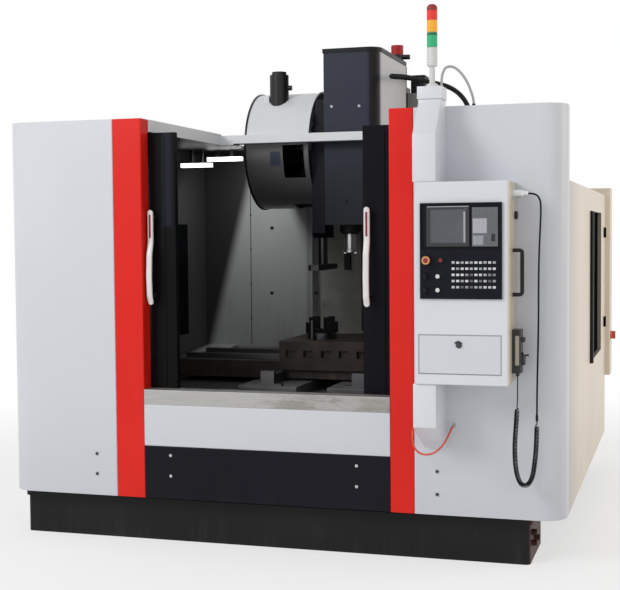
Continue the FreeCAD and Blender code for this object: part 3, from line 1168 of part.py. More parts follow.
print("curly_cable wire length %.1f least bend %.2f self gap %.2f volume ratio %.4f" % (
    curl_line.Length, least, closest - 2 * curl_wire,
    curl_tube.Volume / (section_area(curl_wire) * curl_line.Length)))

hose_points = [
    (790, -28, 705), (790, -62, 705), (789, -98, 684), (790, -108, 632), (808, -107, 586),
    (850, -104, 568), (900, -101, 580), (942, -100, 620), (968, -94, 668), (980, -64, 706),
    (980, -28, 706)]
hose_tube = cord("air_hose", hose_points, 5.0)
hose_ends = [Part.makeCylinder(9, 28, Vector(x, 0, z), Vector(0, -1, 0)) for x, z in ((790, 705), (980, 706))]

conduit_points = [
    (354, 2110, 2680), (354, 1980, 2680), (366, 1740, 2662), (382, 1440, 2630), (392, 1190, 2602),
    (432, 985, 2574), (560, 870, 2548), (700, 845, 2512), (810, 845, 2482), (890, 845, 2412),
    (928, 845, 2306), (928, 845, 2223)]
loop_points = [
    (930, -50, 2376), (930, -50, 2412), (935, -46, 2448), (950, -40, 2476), (984, -28, 2478),
    (1018, -12, 2450), (1046, 10, 2406), (1062, 38, 2356), (1070, 60, 2318), (1070, 60, 2288)]
trunk = cord("trunk conduit", conduit_points, 13.0)
loop = cord("loop conduit", loop_points, 4.0)


def placed(label, *shapes):
    feature = sheet_part("Shape", Part.Compound(list(shapes)) if len(shapes) > 1 else shapes[0])
    return node(label, feature)


placed("handwheel_cable", cable_tube, sleeve)
placed("curly_cable", curl_tube)
placed("air_hose", hose_tube, *hose_ends)
junction = block(("300", "400"), ("2110", "2250"), ("column_top", "column_top+120"))
trunk_collar = minus(rod("z", ("928", "845"), ("beam_low", "beam_low+30"), "20"),
                     [rod("z", ("928", "845"), ("beam_low-1", "beam_low+31"), "13.3")])
loop_collar = minus(rod("z", ("1070", "60"), ("panel_high", "panel_high+14"), "9"),
                    [rod("z", ("1070", "60"), ("panel_high-1", "panel_high+15"), "4.6")])
node("conduits", sheet_part("Trunk", trunk), sheet_part("Loop", loop), junction, trunk_collar, loop_collar)

# ---- check and export ----------------------------------------------------------------

doc.recompute()
for thing in doc.Objects:
    if "Invalid" in thing.State or "Error" in thing.State:
        raise RuntimeError("bad object %s %s" % (thing.Name, thing.State))
os.makedirs("parts", exist_ok=True)
whole = FreeCAD.BoundBox()
kept_out = ("handwheel_cable", "curly_cable", "air_hose", "cable_plug")
for group in nodes:
    shape = group.Shape
    if shape.isNull() or not shape.isValid() or not shape.Solids:
        raise RuntimeError("bad shape %s" % group.Label)
    shape.exportStep("parts/%s.step" % group.Label)
    if group.Label not in kept_out:
        whole.add(shape.BoundBox)
print("nodes", len(nodes))
print("box x %.2f %.2f y %.2f %.2f z %.2f %.2f" % (
    whole.XMin, whole.XMax, whole.YMin, whole.YMax, whole.ZMin, whole.ZMax))
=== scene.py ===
import math

import bmesh
import bpy
from mathutils import Matrix, Vector


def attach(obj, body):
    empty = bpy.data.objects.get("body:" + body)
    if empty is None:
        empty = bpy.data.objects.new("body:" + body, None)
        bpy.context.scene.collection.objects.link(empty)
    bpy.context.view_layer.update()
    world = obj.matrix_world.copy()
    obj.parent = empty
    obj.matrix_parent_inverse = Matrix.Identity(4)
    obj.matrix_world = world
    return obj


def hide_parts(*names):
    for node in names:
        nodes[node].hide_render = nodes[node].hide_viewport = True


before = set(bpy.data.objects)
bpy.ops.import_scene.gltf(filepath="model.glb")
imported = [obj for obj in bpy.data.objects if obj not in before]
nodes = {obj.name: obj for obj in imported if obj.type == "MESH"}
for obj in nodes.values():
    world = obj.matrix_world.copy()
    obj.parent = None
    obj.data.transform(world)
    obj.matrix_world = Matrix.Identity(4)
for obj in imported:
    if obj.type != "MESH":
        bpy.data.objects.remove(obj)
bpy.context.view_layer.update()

# Places are given on the machine itself: x from the middle of its front, y back from the
# front panels, z up from the floor, in metres.
frontMiddle = Vector((0.0345, 1.413, 0.0))
far = 9.0  # past every face of the machine, for a zone with an open side


def place(x, y, z):
    return Vector((x, y, z)) - frontMiddle


def places(points):
    return [place(*point) for point in points]


def added(name, data):
    piece = bpy.data.objects.new(name, data)
    bpy.context.scene.collection.objects.link(piece)
    return piece


# shader tools

def plug(node, wires):
    # joins a socket to the wire given for it, or sets it to the plain value
    for socket, value in wires.items():
        if isinstance(value, bpy.types.NodeSocket):
            node.id_data.links.new(value, node.inputs[socket])
        else:
            node.inputs[socket].default_value = value


def newNode(kind, wires, tree=None, **settings):
    # a node in the tree that its wires come from, unless the tree is given
    tree = tree or next(v.id_data for v in wires.values() if isinstance(v, bpy.types.NodeSocket))
    node = tree.nodes.new(kind)
    for name, value in settings.items():
        setattr(node, name, value)
    plug(node, wires)
    return node


def mixColours(share, first, second):
    return newNode("ShaderNodeMix", {0: share, 6: first, 7: second},
                   data_type="RGBA").outputs[2]


def sums(operation, *values, clamp=False):
    return newNode("ShaderNodeMath", dict(enumerate(values)), operation=operation,
                   use_clamp=clamp).outputs[0]


def vectors(operation, *values):
    node = newNode("ShaderNodeVectorMath", dict(enumerate(values)), operation=operation)
    return node.outputs["Value" if operation in ("LENGTH", "DOT_PRODUCT") else "Vector"]


def between(value, low, high, outLow=0.0, outHigh=1.0, kind="SMOOTHSTEP"):
    return newNode("ShaderNodeMapRange",
                   {"Value": value, "From Min": low, "From Max": high, "To Min": outLow,
                    "To Max": outHigh}, interpolation_type=kind).outputs["Result"]


def noiseOf(vector, scale, detail=2.0, rough=0.5, output="Fac"):
    return newNode("ShaderNodeTexNoise",
                   {"Vector": vector, "Scale": scale, "Detail": detail,
                    "Roughness": rough}).outputs[output]


def heightOf(vector):
    return newNode("ShaderNodeSeparateXYZ", {0: vector}).outputs["Z"]


def newGroup(name, inputs, outputs, kind="ShaderNodeTree"):
    tree = bpy.data.node_groups.new(name, kind)
    for label, sort, value in inputs:
        socket = tree.interface.new_socket(label, in_out="INPUT", socket_type="NodeSocket" + sort)
        if value is not None:
            socket.default_value = value
    for label, sort in outputs:
        tree.interface.new_socket(label, in_out="OUTPUT", socket_type="NodeSocket" + sort)
    return tree, tree.nodes.new("NodeGroupInput").outputs, tree.nodes.new("NodeGroupOutput")


def makePaintSkin():
    # broad tone changes, fine orange peel and a little unevenness of gloss
    tree, given, out = newGroup("paintSkin", [
        ("Vector", "Vector", None), ("Paint", "Color", (0.7, 0.7, 0.7, 1)),
        ("Tone", "Color", (0.6, 0.6, 0.6, 1)), ("Patch Scale", "Float", 1.5),
        ("Peel Scale", "Float", 260.0), ("Gloss", "Float", 0.35), ("Gloss Spread", "Float", 0.1)],
        [("Colour", "Color"), ("Roughness", "Float"), ("Height", "Float")])
    patch = noiseOf(given["Vector"], given["Patch Scale"], detail=3.0)
    fine = noiseOf(given["Vector"], 24.0, detail=4.0, rough=0.6)
    share = sums("MULTIPLY_ADD", fine, 0.3, between(patch, 0.35, 0.7, 0.0, 0.7))
    uneven = sums("MULTIPLY", sums("SUBTRACT", fine, 0.5), given["Gloss Spread"])
    plug(out, {"Colour": mixColours(share, given["Paint"], given["Tone"]),
               "Roughness": sums("ADD", uneven, given["Gloss"]),
               "Height": noiseOf(given["Vector"], given["Peel Scale"])})
    return tree


def makeShopDust():
    # a mask that is strongest near a low line and runs up in weak streaks
    tree, given, out = newGroup("shopDust", [
        ("Vector", "Vector", None), ("Low", "Float", 0.0), ("High", "Float", 0.6),
        ("Amount", "Float", 0.4)], [("Mask", "Float")])
    fade = between(heightOf(given["Vector"]), given["Low"], given["High"], 1.0, 0.0,
                   "LINEAR")
    drawn = vectors("MULTIPLY", given["Vector"], (26.0, 26.0, 2.2))
    streak = between(noiseOf(drawn, 1.0, detail=5.0, rough=0.65), 0.42, 0.72)
    cloud = between(noiseOf(given["Vector"], 5.0, detail=4.0), 0.3, 0.7)
    mask = sums("MULTIPLY", streak, cloud)
    mask = sums("MULTIPLY", mask, sums("MULTIPLY", fade, fade))
    plug(out, {"Mask": sums("MULTIPLY", mask, given["Amount"])})
    return tree


def makeGrindLines():
    # fine parallel lines of grinding or brushing, drawn out along one way
    tree, given, out = newGroup("grindLines", [
        ("Vector", "Vector", None), ("Stretch", "Vector", (2.0, 90.0, 90.0))],
        [("Lines", "Float"), ("Height", "Float")])
    drawn = vectors("MULTIPLY", given["Vector"], given["Stretch"])
    lines = noiseOf(drawn, 4.0, detail=4.0, rough=0.65)
    plug(out, {"Lines": between(lines, 0.3, 0.7), "Height": lines})
    return tree


def makeSandSkin():
    # the grain that a sand mould leaves, with filler patches
    tree, given, out = newGroup("sandSkin", [
        ("Vector", "Vector", None), ("Grain Scale", "Float", 140.0)],
        [("Patches", "Float"), ("Height", "Float")])
    grain = noiseOf(given["Vector"], given["Grain Scale"], detail=6.0, rough=0.7)
    waves = noiseOf(given["Vector"], 9.0, detail=3.0)
    plug(out, {"Patches": between(waves, 0.35, 0.65),
               "Height": sums("ADD", sums("MULTIPLY", grain, 0.6),
                              sums("MULTIPLY", waves, 0.4))})
    return tree


def makeStains():
    # blotches and rings that dried coolant leaves
    tree, given, out = newGroup("coolantStains", [
        ("Vector", "Vector", None), ("Scale", "Float", 7.0), ("Cover", "Float", 0.5)],
        [("Mask", "Float"), ("Rings", "Float")])
    bent = noiseOf(given["Vector"], 14.0, detail=3.0, output="Color")
    bent = vectors("MULTIPLY", bent, (0.12, 0.12, 0.12))
    moved = vectors("ADD", given["Vector"], bent)
    blot = noiseOf(moved, given["Scale"], detail=5.0, rough=0.62)
    edge = sums("SUBTRACT", 1.0, given["Cover"])
    over = sums("SUBTRACT", blot, sums("MULTIPLY", edge, 0.9))
    ring = sums("ABSOLUTE", sums("SUBTRACT", over, 0.03))
    plug(out, {"Mask": between(over, 0.0, 0.16),
               "Rings": between(ring, 0.0, 0.025, 1.0, 0.0)})
    return tree


def makeZone():
    # one inside a box that stands in line with the machine, nought outside it
    tree, given, out = newGroup("zone", [
        ("Vector", "Vector", None), ("Low", "Vector", (0, 0, 0)), ("High", "Vector", (1, 1, 1)),
        ("Soft", "Float", 0.004)], [("Mask", "Float")])
    rise = vectors("SUBTRACT", given["Vector"], given["Low"])
    fall = vectors("SUBTRACT", given["High"], given["Vector"])
    parts = newNode("ShaderNodeSeparateXYZ",
                    {0: vectors("MINIMUM", rise, fall)}).outputs
    least = sums("MINIMUM", sums("MINIMUM", parts["X"], parts["Y"]), parts["Z"])
    plug(out, {"Mask": sums("DIVIDE", least, given["Soft"], clamp=True)})
    return tree


def makeSlope():
    # rises from nought to one across a slanting band
    tree, given, out = newGroup("slope", [
        ("Vector", "Vector", None), ("Direction", "Vector", (1, 0, 0)), ("Start", "Float", 0.0),
        ("End", "Float", 1.0)], [("Mask", "Float")])
    along = vectors("DOT_PRODUCT", given["Vector"], given["Direction"])
    plug(out, {"Mask": between(along, given["Start"], given["End"])})
    return tree


def makeRing():
    # one outside a round line about a centre, seen along the y axis
    tree, given, out = newGroup("ring", [
        ("Vector", "Vector", None), ("Centre", "Vector", (0, 0, 0)), ("Radius", "Float", 0.01),
        ("Soft", "Float", 0.0006)], [("Mask", "Float")])
    away = vectors("SUBTRACT", given["Vector"], given["Centre"])
    reach = vectors("LENGTH", vectors("MULTIPLY", away, (1, 0, 1)))
    over = sums("SUBTRACT", reach, given["Radius"])
    plug(out, {"Mask": sums("DIVIDE", over, given["Soft"], clamp=True)})
    return tree


groups = {tree.name: tree for tree in (
    makeZone(), makeSlope(), makeRing(), makePaintSkin(), makeShopDust(), makeGrindLines(),
    makeSandSkin(), makeStains())}


def use(name, wires):
    return newNode("ShaderNodeGroup", wires, node_tree=groups[name]).outputs


def colour(tint, factor=1.0):
    return (*(factor * part for part in tint), 1.0)


def bumped(height, strength, distance):
    return newNode("ShaderNodeBump", {"Height": height, "Strength": strength,
                                      "Distance": distance}).outputs["Normal"]


def zone(tint, soft, x=(-far, far), y=(-far, far), z=(0, far)):
    # a box of one colour in machine places, open on each side that isn't named
    return (x[0], y[0], z[0]), (x[1], y[1], z[1]), tint, soft


def tinted(shade, tint, name, wires):
    # lays a colour over the shade where the mask of the group is one
    return mixColours(use(name, wires)["Mask"], shade, colour(tint))


def zoned(where, shade, zones):
    for low, high, tint, soft in zones:
        shade = tinted(shade, tint, "zone", {"Vector": where, "Low": place(*low),
                                             "High": place(*high), "Soft": soft})
    return shade


def slanted(where, shade, slopes):
    # slopes: (direction, start, end, colour), with the start and end on the machine
    for way, start, end, tint in slopes:
        shift = Vector(way).dot(frontMiddle)
        shade = tinted(shade, tint, "slope", {"Vector": where, "Direction": way,
                                              "Start": start - shift, "End": end - shift})
    return shade


def dusted(where, shade, dust, amount, dirt):
    # dust: the height where it is thickest and the height where it ends
    if not dust:
        return shade
    return tinted(shade, dirt, "shopDust", {"Vector": where, "Low": dust[0],
                                            "High": dust[1], "Amount": amount})


# makers of finishes: each gives back what goes into the sockets of the shader

def paint(where, base, tone, gloss=0.36, dust=None, dirt=(0.22, 0.2, 0.18), amount=0.35):
    skin = use("paintSkin", {"Vector": where, "Paint": colour(base), "Tone": colour(tone),
                             "Patch Scale": 1.3, "Gloss": gloss})
    return {"Base Color": dusted(where, skin["Colour"], dust, amount, dirt),
            "Roughness": skin["Roughness"],
            "Normal": bumped(skin["Height"], strength=0.12, distance=0.0006)}


def ground(where, base, lines, stretch=(2.0, 90.0, 90.0), rough=0.28, metallic=1.0,
           stain=None, cover=0.4, smear=(1.0, 1.0, 1.0), strong=1.0):
    drawn = use("grindLines", {"Vector": where, "Stretch": stretch})
    shade = mixColours(drawn["Lines"], colour(base), colour(lines))
    gloss = between(drawn["Height"], 0.2, 0.8, rough - 0.08, rough + 0.14)
    if stain:
        spots = use("coolantStains", {"Vector": vectors("MULTIPLY", where, smear),
                                      "Cover": cover})
        shade = mixColours(sums("MULTIPLY", spots["Mask"], strong), shade,
                           colour(stain))
        shade = mixColours(sums("MULTIPLY", spots["Rings"], 0.3 * strong), shade,
                           colour(stain, 0.6))
        gloss = sums("ADD", gloss, sums("MULTIPLY", spots["Mask"], 0.18))
    return {"Base Color": shade, "Roughness": gloss, "Metallic": metallic,
            "Normal": bumped(drawn["Height"], strength=0.1, distance=0.0004)}


def casting(where, base, patches, rough=0.6, bump=0.35, metallic=0.0, dust=None):
    skin = use("sandSkin", {"Vector": where})
    shade = mixColours(skin["Patches"], colour(base), colour(patches))
    return {"Base Color": dusted(where, shade, dust, 0.6, (0.12, 0.1, 0.08)),
            "Roughness": between(skin["Height"], 0.3, 0.7, rough - 0.1, rough + 0.1),
            "Metallic": metallic,
            "Normal": bumped(skin["Height"], strength=bump, distance=0.0015)}


def plastic(where, base, tone, gloss=0.4, rings=()):
    # rings: (centre, radius, colour outside it) in machine places
    skin = use("paintSkin", {"Vector": where, "Paint": colour(base), "Tone": colour(tone),
                             "Patch Scale": 14.0, "Peel Scale": 900.0, "Gloss": gloss,
                             "Gloss Spread": 0.12})
    shade = skin["Colour"]
    for centre, radius, tint in rings:
        shade = tinted(shade, tint, "ring", {"Vector": where, "Centre": place(*centre),
                                             "Radius": radius})
    return {"Base Color": shade, "Roughness": skin["Roughness"],
            "Normal": bumped(skin["Height"], strength=0.06, distance=0.0003)}


def glass(where, tint, alpha, rough=0.06, smear=0.25):
    # a pane seen through: its own faint smear over what lies behind
    skin = use("paintSkin", {"Vector": where, "Paint": colour(tint),
                             "Tone": colour(tint, 1.5), "Patch Scale": 3.0, "Gloss": rough,
                             "Gloss Spread": 0.1})
    film = between(noiseOf(where, 4.0, detail=4.0), 0.3, 0.7, alpha - smear / 2,
                   alpha + smear / 2)
    return {"Base Color": skin["Colour"], "Roughness": skin["Roughness"], "Alpha": film}


def lit(where, base, light, strength):
    skin = use("paintSkin", {"Vector": where, "Paint": colour(base),
                             "Tone": colour(base, 0.9), "Gloss": 0.3})
    glow = mixColours(noiseOf(where, 30.0), colour(light), colour(light, 0.85))
    return {"Base Color": skin["Colour"], "Emission Color": glow, "Emission Strength": strength}


def keyCaps(where, base, corner, pitch, brightRow, dimmest):
    # caps of one plate, each with its own tone, the upper rows brighter
    moved = vectors("SUBTRACT", where, place(*corner))
    whole = vectors("FLOOR", vectors("DIVIDE", moved, pitch))
    chance = newNode("ShaderNodeTexWhiteNoise", {"Vector": whole},
                     noise_dimensions="3D").outputs["Value"]
    upper = between(heightOf(whole), brightRow - 1.0, brightRow, 0.0, 0.45, "LINEAR")
    share = sums("ADD", between(chance, 0.15, 0.85), upper)
    grain = noiseOf(where, 700.0)
    return {"Base Color": mixColours(sums("MINIMUM", share, 1.0),
                                     colour(base, dimmest), colour(base)),
            "Roughness": between(grain, 0.3, 0.7, 0.3, 0.42),
            "Normal": bumped(grain, strength=0.05, distance=0.0003)}


def newFinish(name, make, shine=0.5, slopes=(), zones=(), wears=(), **facts):
    # makes the material, lays slopes and zones over its colour, and puts it on the pieces of
    # the machine that wear it; a zone of a lit piece gives no light
    material = bpy.data.materials.new(name)
    material.use_nodes = True
    tree = material.node_tree
    where = tree.nodes.new("ShaderNodeTexCoord").outputs["Object"]
    sockets = make(where, **facts)
    shade = slanted(where, sockets["Base Color"], slopes)
    sockets["Base Color"] = zoned(where, shade, zones)
    sockets["Specular IOR Level"] = shine
    if "Emission Color" in sockets:
        unlit = [(low, high, (0, 0, 0), soft) for low, high, _, soft in zones]
        sockets["Emission Color"] = zoned(where, sockets["Emission Color"], unlit)
    plug(tree.nodes["Principled BSDF"], sockets)
    for worn in wears:
        held = nodes[worn].data.materials
        held.clear()
        held.append(material)
    return material


black = (0.004, 0.004, 0.005)
white = (0.66, 0.68, 0.72)
recipes = {
    "whiteSheet": dict(
        make=paint, base=white, tone=(0.63, 0.65, 0.69), dust=(0.25, 0.8), amount=0.18,
        wears=["left_front_panel", "right_front_panel", "lower_front_panel"],
        slopes=[((0, 0, 1), 0.9, 0.2, (0.60, 0.62, 0.66))]),
    # the side panels and the cabinet: white sheet with a beige tint that is painted warm light,
    # faded to plain white left of x 1.0, and painted shade darker towards the front
    "whiteSide": dict(
        make=paint, base=(0.77, 0.68, 0.56), tone=(0.72, 0.635, 0.52), dust=(0.25, 0.9),
        wears=["side_panels", "electrical_cabinet", "cabinet_door"],
        slopes=[((0, 1, 0), 0.9, 0.1, (0.50, 0.47, 0.44))],
        zones=[zone(white, 0.3, x=(-far, 1.0)),
               zone(black, 0.0008, x=(1.45, 1.5235), y=(1.5295, 2.5005), z=(0.8695, 1.7905))]),
    "redPost": dict(
        make=paint, base=(0.78, 0.018, 0.010), tone=(0.71, 0.013, 0.007), gloss=0.34,
        dust=(0.25, 0.5), dirt=(0.2, 0.012, 0.008), amount=0.2, shine=0.25, wears=["red_posts"]),
    "navySheet": dict(
        make=paint, base=(0.0028, 0.0024, 0.0066), tone=(0.0045, 0.004, 0.009), gloss=0.42,
        dirt=(0.035, 0.035, 0.038), dust=(0.25, 0.45), amount=0.25, shine=0.16,
        wears=["kick_panel", "exchange_gearbox"]),
    "doorPaint": dict(
        make=paint, base=(0.0035, 0.0035, 0.0065), tone=(0.0055, 0.0055, 0.009), gloss=0.45,
        shine=0.08, wears=["left_door", "right_door"],
        slopes=[((1, 0, 0), -0.2, -0.5, (0.0035, 0.0035, 0.004))],
        # a lighter soft strip on the upper left door is a painted highlight
        zones=[zone((0.015, 0.017, 0.027), 0.025, x=(-0.634, -0.560), z=(1.70, 2.25))]),
    "navyCover": dict(
        make=paint, base=(0.022, 0.026, 0.045), tone=(0.028, 0.032, 0.053), gloss=0.42, shine=0.2,
        # darker towards the bottom; the black band along the rounded right corner is painted shade,
        # and the right side, a light cover, is painted near white as painted light
        wears=["head_cover"], slopes=[((0, 0, 1), 2.25, 1.9, (0.013, 0.015, 0.023))],
        zones=[zone(black, 0.01, x=(0.225, far), y=(-far, 1.345)),
               zone((0.86, 0.85, 0.86), 0.012, x=(0.282, far), y=(1.300, far)),
               zone(black, 0.001, z=(2.768, far))]),
    "blackTank": dict(
        make=paint, base=(0.007, 0.007, 0.008), tone=(0.012, 0.012, 0.013), gloss=0.5,
        dirt=(0.05, 0.046, 0.042), dust=(0.0, 0.3), amount=0.4, shine=0.2, wears=["coolant_tank"],
        zones=[zone((0.05, 0.014, 0.008), 0.01, x=(1.335, far))]),
    "blackMotor": dict(
        make=paint, base=(0.007, 0.007, 0.008), tone=(0.013, 0.013, 0.015), gloss=0.42, shine=0.3,
        wears=["feed_motors"],
        zones=[zone((0.40, 0.008, 0.010), 0.003, x=(-far, 0.222), y=(2.0, far), z=(2.885, far))]),
    "greyWall": dict(
        make=paint, base=(0.40, 0.41, 0.41), tone=(0.34, 0.35, 0.35), gloss=0.5, shine=0.3,
        dust=(0.72, 1.7), dirt=(0.10, 0.095, 0.09), amount=0.6, wears=["inner_walls"],
        # painted shadow: a slanting edge across the rear wall, the wall dark to the left of it
        slopes=[((0.969, 0.0, -0.248), -1.26, -1.35, (0.019, 0.019, 0.018))],
        # the left wall in painted shade, then a dark seam line and a grey upright band on the rear
        # wall
        zones=[zone((0.055, 0.055, 0.054), 0.01, x=(-far, -1.12), y=(-far, 2.03)),
               zone((0.045, 0.045, 0.045), 0.001, x=(-0.824, -0.817), y=(2.03, far), z=(0.9, 2.2)),
               zone((0.20, 0.205, 0.205), 0.03, x=(-0.425, -0.374), y=(2.0, far), z=(0, 2.2)),
               # painted shade along the foot of the walls; the outer faces keep the plain wall
               # colour, outside the painted shade
               zone((0.02, 0.02, 0.02), 0.03, z=(0, 0.89)),
               zone((0.38, 0.39, 0.39), 0.0006, x=(-far, -1.1512), z=(0.9, far)),
               zone((0.38, 0.39, 0.39), 0.0006, y=(2.0412, far), z=(0.9, far))]),
    "paleDrum": dict(
        make=paint, base=(0.74, 0.75, 0.78), tone=(0.70, 0.71, 0.74), gloss=0.34,
        wears=["magazine_cover"],
        # painted shade: the drum darker below the roof line, inside the cell
        slopes=[((0, 0, 1), 2.26, 2.22, (0.17, 0.17, 0.175)),
                ((0, 0, 1), 2.20, 2.08, (0.10, 0.10, 0.105)),
                ((0, 0, 1), 2.04, 1.88, (0.095, 0.095, 0.10))],
        zones=[zone((0.04, 0.05, 0.085), 0.012, x=(-0.418, -0.338), y=(-far, 1.6),
                    z=(2.085, 2.185)),
               zone(black, 0.002, x=(-far, -0.568))]),
    "roofWhite": dict(
        make=paint, base=(0.84, 0.86, 0.88), tone=(0.79, 0.81, 0.83), wears=["roof_frame"],
        slopes=[((-1, 0, 0), 0.6, 1.1, (0.30, 0.29, 0.27))],
        # painted shade: the undersides of the roof plates and of the beam black
        zones=[zone(black, 0.0005, x=(-1.2, 0.62), y=(0.02, 2.1), z=(0, 2.2212)),
               zone(black, 0.001, x=(-0.62, 0.62), y=(1.15, 1.25), z=(0, 2.2295))]),
    "pendantWhite": dict(
        make=paint, base=(0.73, 0.75, 0.79), tone=(0.70, 0.72, 0.76), gloss=0.34,
        wears=["pendant_duct", "pendant_housing", "pendant_flap"],
        # the right side of the pendant: a cream band at its front as painted warm light, brownish
        # grey behind it as painted shade
        zones=[zone((0.50, 0.46, 0.39), 0.002, x=(1.283, far)),
               zone((0.76, 0.67, 0.50), 0.004, x=(1.283, far), y=(-far, -0.225)),
               # painted shade in the gap round the flap: a grey outline with white inside it
               zone((0.34, 0.34, 0.35), 0.001, x=(0.8575, 1.2575), y=(-far, -0.27),
                    z=(0.9905, 1.1835)),
               zone(white, 0.001, x=(0.8635, 1.2515), z=(0.9965, 1.1775))]),
    "greyCasting": dict(
        make=casting, base=(0.10, 0.10, 0.105), patches=(0.08, 0.08, 0.085), wears=["bed"]),
    "columnPaint": dict(
        make=casting, base=(0.30, 0.295, 0.28), patches=(0.25, 0.245, 0.235), wears=["column"],
        # painted shade at the foot of the column
        zones=[zone((0.02, 0.02, 0.02), 0.03, z=(0, 0.9))]),
    "headIron": dict(
        make=casting, base=(0.014, 0.015, 0.019), patches=(0.010, 0.011, 0.014), shine=0.3,
        wears=["head_casting"]),
    "brownCasting": dict(
        make=casting, base=(0.026, 0.019, 0.016), patches=(0.015, 0.012, 0.010), dust=(0.8, 1.0),
        shine=0.3, wears=["saddle"]),
    "tableIron": dict(
        make=casting, base=(0.036, 0.026, 0.022), patches=(0.024, 0.018, 0.016), rough=0.5,
        bump=0.15, metallic=0.3, shine=0.3, wears=["table"]),
    "brightSteel": dict(make=ground, base=(0.62, 0.63, 0.65), lines=(0.48, 0.49, 0.5)),
    "waySteel": dict(
        make=ground, base=(0.16, 0.16, 0.165), lines=(0.11, 0.11, 0.115), rough=0.36,
        wears=["guide_rails", "x_guide_rails"],
        # painted shade on the rails at the back above 1.2 m
        zones=[zone((0.02, 0.02, 0.022), 0.05, y=(2.0, far), z=(1.2, far))]),
    "sillSteel": dict(
        make=ground, base=(0.46, 0.455, 0.44), lines=(0.39, 0.385, 0.37), rough=0.38,
        stain=(0.20, 0.18, 0.155), cover=0.44, metallic=0.6, strong=0.55, smear=(0.30, 1.0, 1.0),
        wears=["door_sill"], zones=[zone((0.03, 0.03, 0.03), 0.08, y=(0.15, far))]),
    "darkSteel": dict(
        make=ground, base=(0.055, 0.055, 0.06), lines=(0.09, 0.09, 0.095), rough=0.38,
        wears=["feet_and_bolts", "clamp_fixture", "flap_latch"],
        zones=[zone((0.5, 0.5, 0.5), 0.001, x=(-0.7, 0.64), y=(-0.1, 0.0), z=(0.26, 0.53))]),
    "toolSteel": dict(
        make=ground, base=(0.07, 0.07, 0.074), lines=(0.045, 0.045, 0.048), rough=0.30,
        stretch=(90.0, 90.0, 2.0), wears=["carousel", "exchange_sleeve", "exchange_arm"]),
    "spindleSteel": dict(
        make=ground, base=(0.62, 0.62, 0.61), lines=(0.50, 0.50, 0.49), rough=0.30,
        stretch=(60.0, 60.0, 3.0), wears=["spindle"]),
    "aluminium": dict(
        make=ground, base=(0.72, 0.73, 0.75), lines=(0.6, 0.61, 0.63), rough=0.36,
        wears=["cable_plug"]),
    "sideGlass": dict(
        # the pane near black and almost opaque, painted shade for the dark cell behind it
        make=glass, tint=(0.004, 0.005, 0.006), alpha=0.97, rough=0.3, smear=0.04, shine=0.0,
        wears=["side_window"]),
    "doorGlass": dict(
        make=glass, tint=(0.05, 0.06, 0.065), alpha=0.28, wears=["left_window", "right_window"]),
    "screenGlass": dict(
        make=glass, tint=(0.075, 0.082, 0.098), alpha=0.97, rough=0.16, smear=0.04,
        wears=["screen_glass"],
        # a painted highlight along the right edge of the glass, and a lighter grey line along its
        # lower edge
        zones=[zone((0.42, 0.43, 0.46), 0.003, x=(1.077, 1.088), z=(1.618, 1.765)),
               zone((0.20, 0.21, 0.23), 0.004, x=(0.915, 1.074), z=(1.604, 1.616))]),
    "blackPlastic": dict(
        make=plastic, base=(0.008, 0.008, 0.012), tone=(0.014, 0.014, 0.018), shine=0.3,
        wears=["side_handle"]),
    "fasciaPlastic": dict(
        make=plastic, base=(0.0045, 0.005, 0.010), tone=(0.008, 0.009, 0.015), gloss=0.40,
        shine=0.12, wears=["control_fascia"],
        zones=[zone(black, 0.001, x=(0.8, far), z=(1.583, 1.591))]),
    "unitPlastic": dict(
        make=plastic, base=(0.010, 0.010, 0.011), tone=(0.018, 0.018, 0.019),
        wears=["handwheel_unit", "handwheel_dial"],
        # painted highlights: a cream line on the right side and a cream patch on the front
        zones=[zone((0.5, 0.46, 0.36), 0.001, x=(1.340, far), z=(1.08, 1.10)),
               zone((0.46, 0.42, 0.33), 0.001, x=(1.303, 1.322), y=(-far, -0.155),
                    z=(1.030, 1.172))]),
    "greyPlastic": dict(
        make=plastic, base=(0.23, 0.235, 0.24), tone=(0.19, 0.195, 0.2), wears=["signal_tower"]),
    "whitePlastic": dict(
        make=plastic, base=(0.70, 0.70, 0.69), tone=(0.62, 0.62, 0.61), gloss=0.28),
    "handleWhite": dict(
        make=plastic, base=(0.78, 0.77, 0.76), tone=(0.72, 0.71, 0.70), gloss=0.3,
        wears=["left_handle", "right_handle"]),
    "insertRed": dict(
        make=plastic, base=(0.26, 0.016, 0.03), tone=(0.17, 0.014, 0.024), gloss=0.25),
    "upperWhite": dict(
        make=plastic, base=(0.72, 0.74, 0.72), tone=(0.66, 0.68, 0.66), gloss=0.26,
        wears=["upper_white_button"], rings=[((0.956, 0, 1.459), 0.0094, (0.24, 0.24, 0.25))]),
    "lowerWhite": dict(
        make=plastic, base=(0.72, 0.74, 0.72), tone=(0.66, 0.68, 0.66), gloss=0.26,
        wears=["lower_white_button"], rings=[((0.956, 0, 1.394), 0.0094, (0.24, 0.24, 0.25))]),
    "stopPlastic": dict(
        make=plastic, base=(0.26, 0.022, 0.012), tone=(0.20, 0.016, 0.010), gloss=0.26,
        wears=["stop_button"], rings=[((0.903, 0, 1.535), 0.0118, (0.70, 0.30, 0.13))]),
    "redPlastic": dict(
        make=plastic, base=(0.22, 0.012, 0.016), tone=(0.17, 0.010, 0.013), gloss=0.3,
        wears=["red_button", "main_switch"],
        rings=[((0.970, 0, 1.535), 0.0086, (0.03, 0.008, 0.010))],
        zones=[zone((0.62, 0.07, 0.025), 0.01, x=(1.5, far))]),
    "knobPlastic": dict(
        make=plastic, base=(0.005, 0.006, 0.012), tone=(0.010, 0.011, 0.018), shine=0.25,
        wears=["upper_selector", "lower_selector"]),
    "keyCaps": dict(
        make=keyCaps, base=(0.68, 0.69, 0.71), corner=(1.0161, -0.4, 1.3997),
